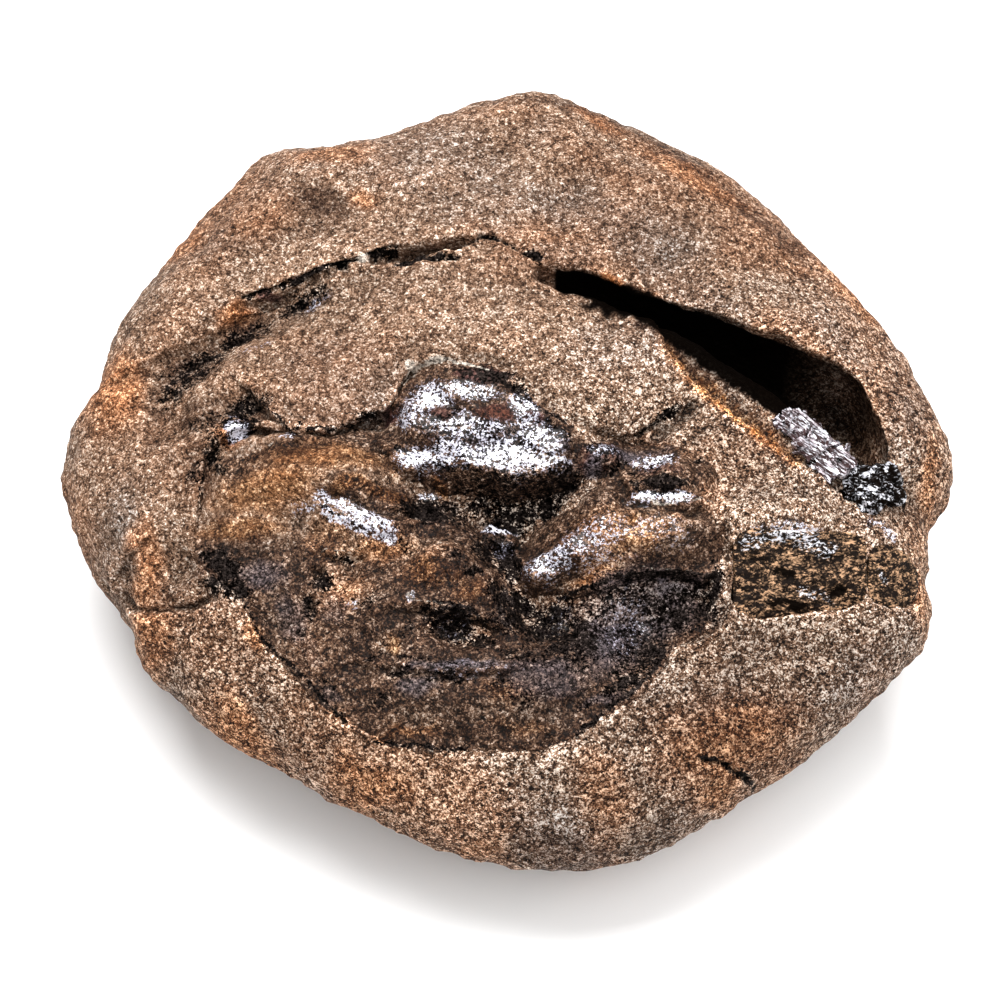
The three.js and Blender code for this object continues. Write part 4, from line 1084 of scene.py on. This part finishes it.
def fossil_finish(name, grain, tint, calm):
    """Sandstone and petrified shell: sand, brown shell, black varnish, painted light and shade,
    painted highlights and what else the masks say.
    The calmer it is, the less its grains stand out."""
    material, wires, shader = new_finish(name, VARNISH)
    where = wires.node("ShaderNodeTexCoord").outputs["Object"]
    grains = use_group(wires, grain, {"Place": where})
    shade = grains["Shade"]
    clouds = wires.noise(where, 6.0, 3.0)
    mottles = wires.noise(where, 2.2, 4.0, 0.65)
    blots = wires.noise(where, 1.0, 4.0, 0.65)
    fine = wires.noise(where, 0.4, 3.0, 0.6)

    def grainy(colour, low, high, dark, pale):
        """A colour that is darker and paler with the shade of the grain."""
        return wires.brighten(colour, wires.fade(shade, low, high, dark, pale))

    contrast = wires.fade(wires.mask("coarse"), 0, 1, 1 - calm, 1.45 - calm)
    spread = wires.times(wires.math("SUBTRACT", shade, 0.67), contrast)
    stone = use_group(wires, tint, {
        "Shade": wires.sum((spread, 1.0), (clouds, 0.16), (0.59, 1.0)),
        "Rust": wires.mask("rust"), "Grey": wires.mask("grey"),
    })["Colour"]
    brown = wires.sum((shade, 0.48), (blots, 0.22), (mottles, 0.2), (fine, 0.1))
    sand = wires.patches("sand", blots, 1.0, 0.65, 1.25)
    colour = wires.blend(sand, wires.ramp(brown, SHELL_STOPS), stone)
    # Stains and painted shade darken the colour
    stain_and_shade = wires.times(wires.mask("stain_and_shade"), wires.fade(blots, 0.35, 0.6, 0.35, 1.0))
    colour = wires.tint(stain_and_shade, colour, STAIN_AND_SHADE_TINT)
    ochre = wires.times(wires.mask("ochre"), wires.fade(blots, 0.35, 0.6, 0.4, 1.0))
    colour = wires.tint(ochre, colour, OCHRE_TINT)
    # Pale patches brighten the colour, some of them as painted light
    colour = wires.brighten(colour, wires.fade(wires.mask("pale"), 0, 1, 1.0, 1.32))
    maroon = wires.patches("maroon", mottles, 0.6, 0.6, 1.1, 0.85)
    colour = wires.blend(maroon, colour, grainy(WINE, 0.4, 0.95, 0.05, 2.4))
    colour = wires.tint(wires.patches("amber", mottles, 0.8, 0.55, 1.25), colour, AMBER_TINT)
    blue = wires.patches("blue", mottles, 0.8, 0.6, 1.5, 0.8)
    colour = wires.blend(blue, colour, grainy(LILAC, 0.5, 0.95, 0.0, 3.6))

    # Black varnish together with painted shade in slits, cracks and recesses
    black_and_shade = wires.mask("black_and_shade")
    speckle = wires.sum((black_and_shade, 1.0), (blots, 1.4), (mottles, 0.8), (fine, 1.0), (shade, -1.2))
    black_and_shade = wires.times(wires.fade(speckle, 1.0, 1.4), wires.fade(black_and_shade, 0.02, 0.15))
    colour = wires.blend(black_and_shade, colour, grainy(BLACK_AND_SHADE_COLOUR, 0.5, 0.95, 0.1, 4.0))
    # Painted light on crests and painted shade in creases and dips, from the relief
    colour = wires.brighten(colour, wires.fade(wires.mask("crest_shading"), 0.1, 0.9, 0.45, 1.5))
    colour = wires.brighten(colour, wires.fade(wires.mask("swell_shading"), 0.1, 0.9, 0.6, 1.35))
    chalk = wires.mask("chalk")
    crumbs = wires.sum((chalk, 1.0), (fine, 1.2), (blots, 0.8))
    chalk = wires.times(wires.fade(crumbs, 1.5, 1.85), wires.fade(chalk, 0.02, 0.2))
    colour = wires.blend(wires.times(chalk, 0.8), colour, grainy(CHALK, 0.42, 0.88, 0.2, 1.4))

    wet = wires.patches("gloss_and_highlight", fine, 0.5, 0.4, 0.9)
    bright = wires.times(wet, glitter(wires, where, grains, wires.mask("gloss_and_highlight")))
    # Painted highlights: the glints whiten and tint the colour
    painted_glint = wires.ramp(bright, PAINTED_HIGHLIGHT_STOPS)
    colour = wires.blend(wires.fade(bright, 0.0, 0.5, 0.0, 0.85), colour, painted_glint)
    # Painted shade darkens the hollow to near black
    hollow_shade = wires.mask("hollow_shade")
    colour = wires.blend(wires.fade(hollow_shade, 0.1, 0.9, 0, 0.995), colour, HOLLOW_SHADE_BLACK)
    wires.feed(shader.inputs["Base Color"], colour)
    coat = wires.larger(wires.times(bright, 0.8), wires.times(wet, 0.08))
    wires.feed(shader.inputs["Coat Weight"], coat)
    wires.feed(shader.inputs["Roughness"], wires.fade(sand, 0, 1, 0.6, 0.85))
    dull = wires.larger(wires.fade(black_and_shade, 0.4, 1.0), hollow_shade)
    dull = wires.times(dull, wires.fade(wires.larger(bright, chalk), 0, 1, 1.0, 0.2))
    wires.feed(shader.inputs["Metallic"], dull)  # black metal hardly reflects, as soot doesn't
    bumps = wires.sum((fine, 0.5), (grains["Height"], 0.8))
    wires.relief(shader, wires.times(bumps, wires.fade(wet, 0, 1, 1, 0.5)), 0.24)
    return material


def limb_shell(name, grain, start, dark, pale, turn, squash, amount):
    """Streaked shell of the leg and the claw: the grain's shade where it turns pale, two colours,
    the angle of the streaks in degrees, how short they are and how much of it glitters with painted
    highlights."""
    material, wires, shader = new_finish(name, VARNISH)
    where = wires.node("ShaderNodeTexCoord").outputs["Object"]
    angle = (0, 0, math.radians(turn))
    turned = wires.node("ShaderNodeMapping", {"Vector": where, "Rotation": angle}).outputs[0]
    drawn = wires.node("ShaderNodeMapping", {"Vector": turned, "Scale": (squash, 1, 1)}).outputs[0]
    grains = use_group(wires, grain, {"Place": drawn})
    streaks = wires.noise(drawn, 0.7, 4.0, 0.7)
    shade = wires.sum((grains["Shade"], 0.45), (streaks, 0.5), (-0.05, 1.0))
    middle = tuple(0.25 * value for value in pale)
    colour = wires.ramp(shade, [(start, dark), (start + 0.07, middle), (start + 0.15, pale)])
    black_and_shade = wires.fade(wires.sum(
        (wires.mask("black_and_shade"), 1.0), (streaks, 1.0), (grains["Shade"], -0.4)), 0.7, 1.1)
    colour = wires.blend(black_and_shade, colour, LIMB_BLACK)
    # Painted light on crests and painted shade in creases, from the relief
    colour = wires.brighten(colour, wires.fade(wires.mask("crest_shading"), 0.1, 0.9, 0.4, 1.6))
    gloss_and_highlight = wires.larger(wires.mask("gloss_and_highlight"), amount)
    bright = wires.times(glitter(wires, drawn, grains, gloss_and_highlight), wires.fade(gloss_and_highlight, 0.05, 0.5))
    # Painted highlights in silver
    colour = wires.blend(wires.times(bright, 0.9), colour, PAINTED_HIGHLIGHT_SILVER)
    wires.feed(shader.inputs["Base Color"], colour)
    wires.feed(shader.inputs["Coat Weight"], bright)
    wires.feed(shader.inputs["Roughness"], wires.fade(streaks, 0.35, 0.65, 0.6, 0.85))
    wires.feed(shader.inputs["Metallic"], wires.times(black_and_shade, wires.fade(bright, 0, 1, 0.9, 0.1)))
    wires.relief(shader, wires.sum((streaks, 1.0), (grains["Height"], 0.6)), 0.25)
    return material


def dress(piece, material, node):
    """Gives a piece its finish, smooth shading and the root body, and hides the CAD node it stands
    in for.
    """
    piece.data.materials.clear()
    piece.data.materials.append(material)
    pick(piece)
    bpy.ops.object.shade_smooth()
    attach(piece, "root")
    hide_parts(node)


# ---- Stage ----


def lay_floor():
    bpy.ops.object.select_all(action="DESELECT")
    bpy.ops.mesh.primitive_plane_add(size=FLOOR_SIZE, location=(0, 0, 0))
    floor = bpy.context.view_layer.objects.active
    floor.name = "studio_floor"
    paper, _, _ = new_finish("white_paper", {
        "Base Color": (0.92, 0.92, 0.92, 1), "Roughness": 0.9, "Specular IOR Level": 0.1,
        "Emission Color": (1, 1, 1, 1), "Emission Strength": 0.12,
    })
    floor.data.materials.append(paper)


def softbox(name, location, size, energy):
    """A rectangular light that faces the part."""
    bpy.ops.object.light_add(type="AREA", location=location)
    box = bpy.context.view_layer.objects.active
    box.name = name
    box.data.shape = "RECTANGLE"
    box.data.size, box.data.size_y = size
    box.data.energy = energy
    x, y, z = np.array(LIGHT_TARGET) - np.array(box.location)
    box.rotation_euler = (math.atan2(math.hypot(x, y), -z), 0, math.atan2(-x, y))


def set_lights():
    softbox("back_softbox", (-0.05, 0.26, 0.66), (0.52, 0.40), 8.5)
    softbox("ceiling_panel", (0.3, -0.22, 0.9), (1.1, 0.8), 8.2)
    world = bpy.data.worlds.new("white_room")
    bpy.context.scene.world = world
    world.use_nodes = True
    world.node_tree.nodes["Background"].inputs["Color"].default_value = (1, 1, 1, 1)
    world.node_tree.nodes["Background"].inputs["Strength"].default_value = 0.15


def set_camera():
    location = tuple(value * MM for value in CAMERA_PLACE)
    bpy.ops.object.camera_add(location=location, rotation=(math.radians(CAMERA_PITCH), 0, 0))
    camera = bpy.context.view_layer.objects.active
    camera.data.lens = LENS
    camera.data.sensor_width = SENSOR_WIDTH
    bpy.context.scene.camera = camera
    bpy.context.scene.view_settings.view_transform = "Standard"


grain = sand_grain()
tint = sandstone_colour()
dress(make_stone(), fossil_finish("brown_sandstone", grain, tint, 0.15), "nodule")
dress(make_shell(), fossil_finish("petrified_shell", grain, tint, 0.33), "carapace")
leg_finish = limb_shell(
    "leg_shell", grain, start=0.485, dark=(0.006, 0.0024, 0.0010), pale=(0.56, 0.33, 0.19),
    turn=0, squash=0.65, amount=0.0)
dress(make_limb("leg", "crab_leg"), leg_finish, "leg")
dress(make_limb("shin", "crab_shin"), leg_finish, "shin")
flake_finish = limb_shell(
    "flake_shell", grain, start=0.45, dark=(0.035, 0.018, 0.018), pale=(0.60, 0.52, 0.56),
    turn=38, squash=0.28, amount=0.45)
dress(make_flake(), flake_finish, "claw_flake")
knuckle_finish = limb_shell(
    "knuckle_shell", grain, start=0.57, dark=(0.004, 0.002, 0.0015), pale=(0.16, 0.10, 0.07),
    turn=20, squash=0.6, amount=0.1)
dress(make_knuckle(), knuckle_finish, "claw_knuckle")
lay_floor()
set_lights()
set_camera()
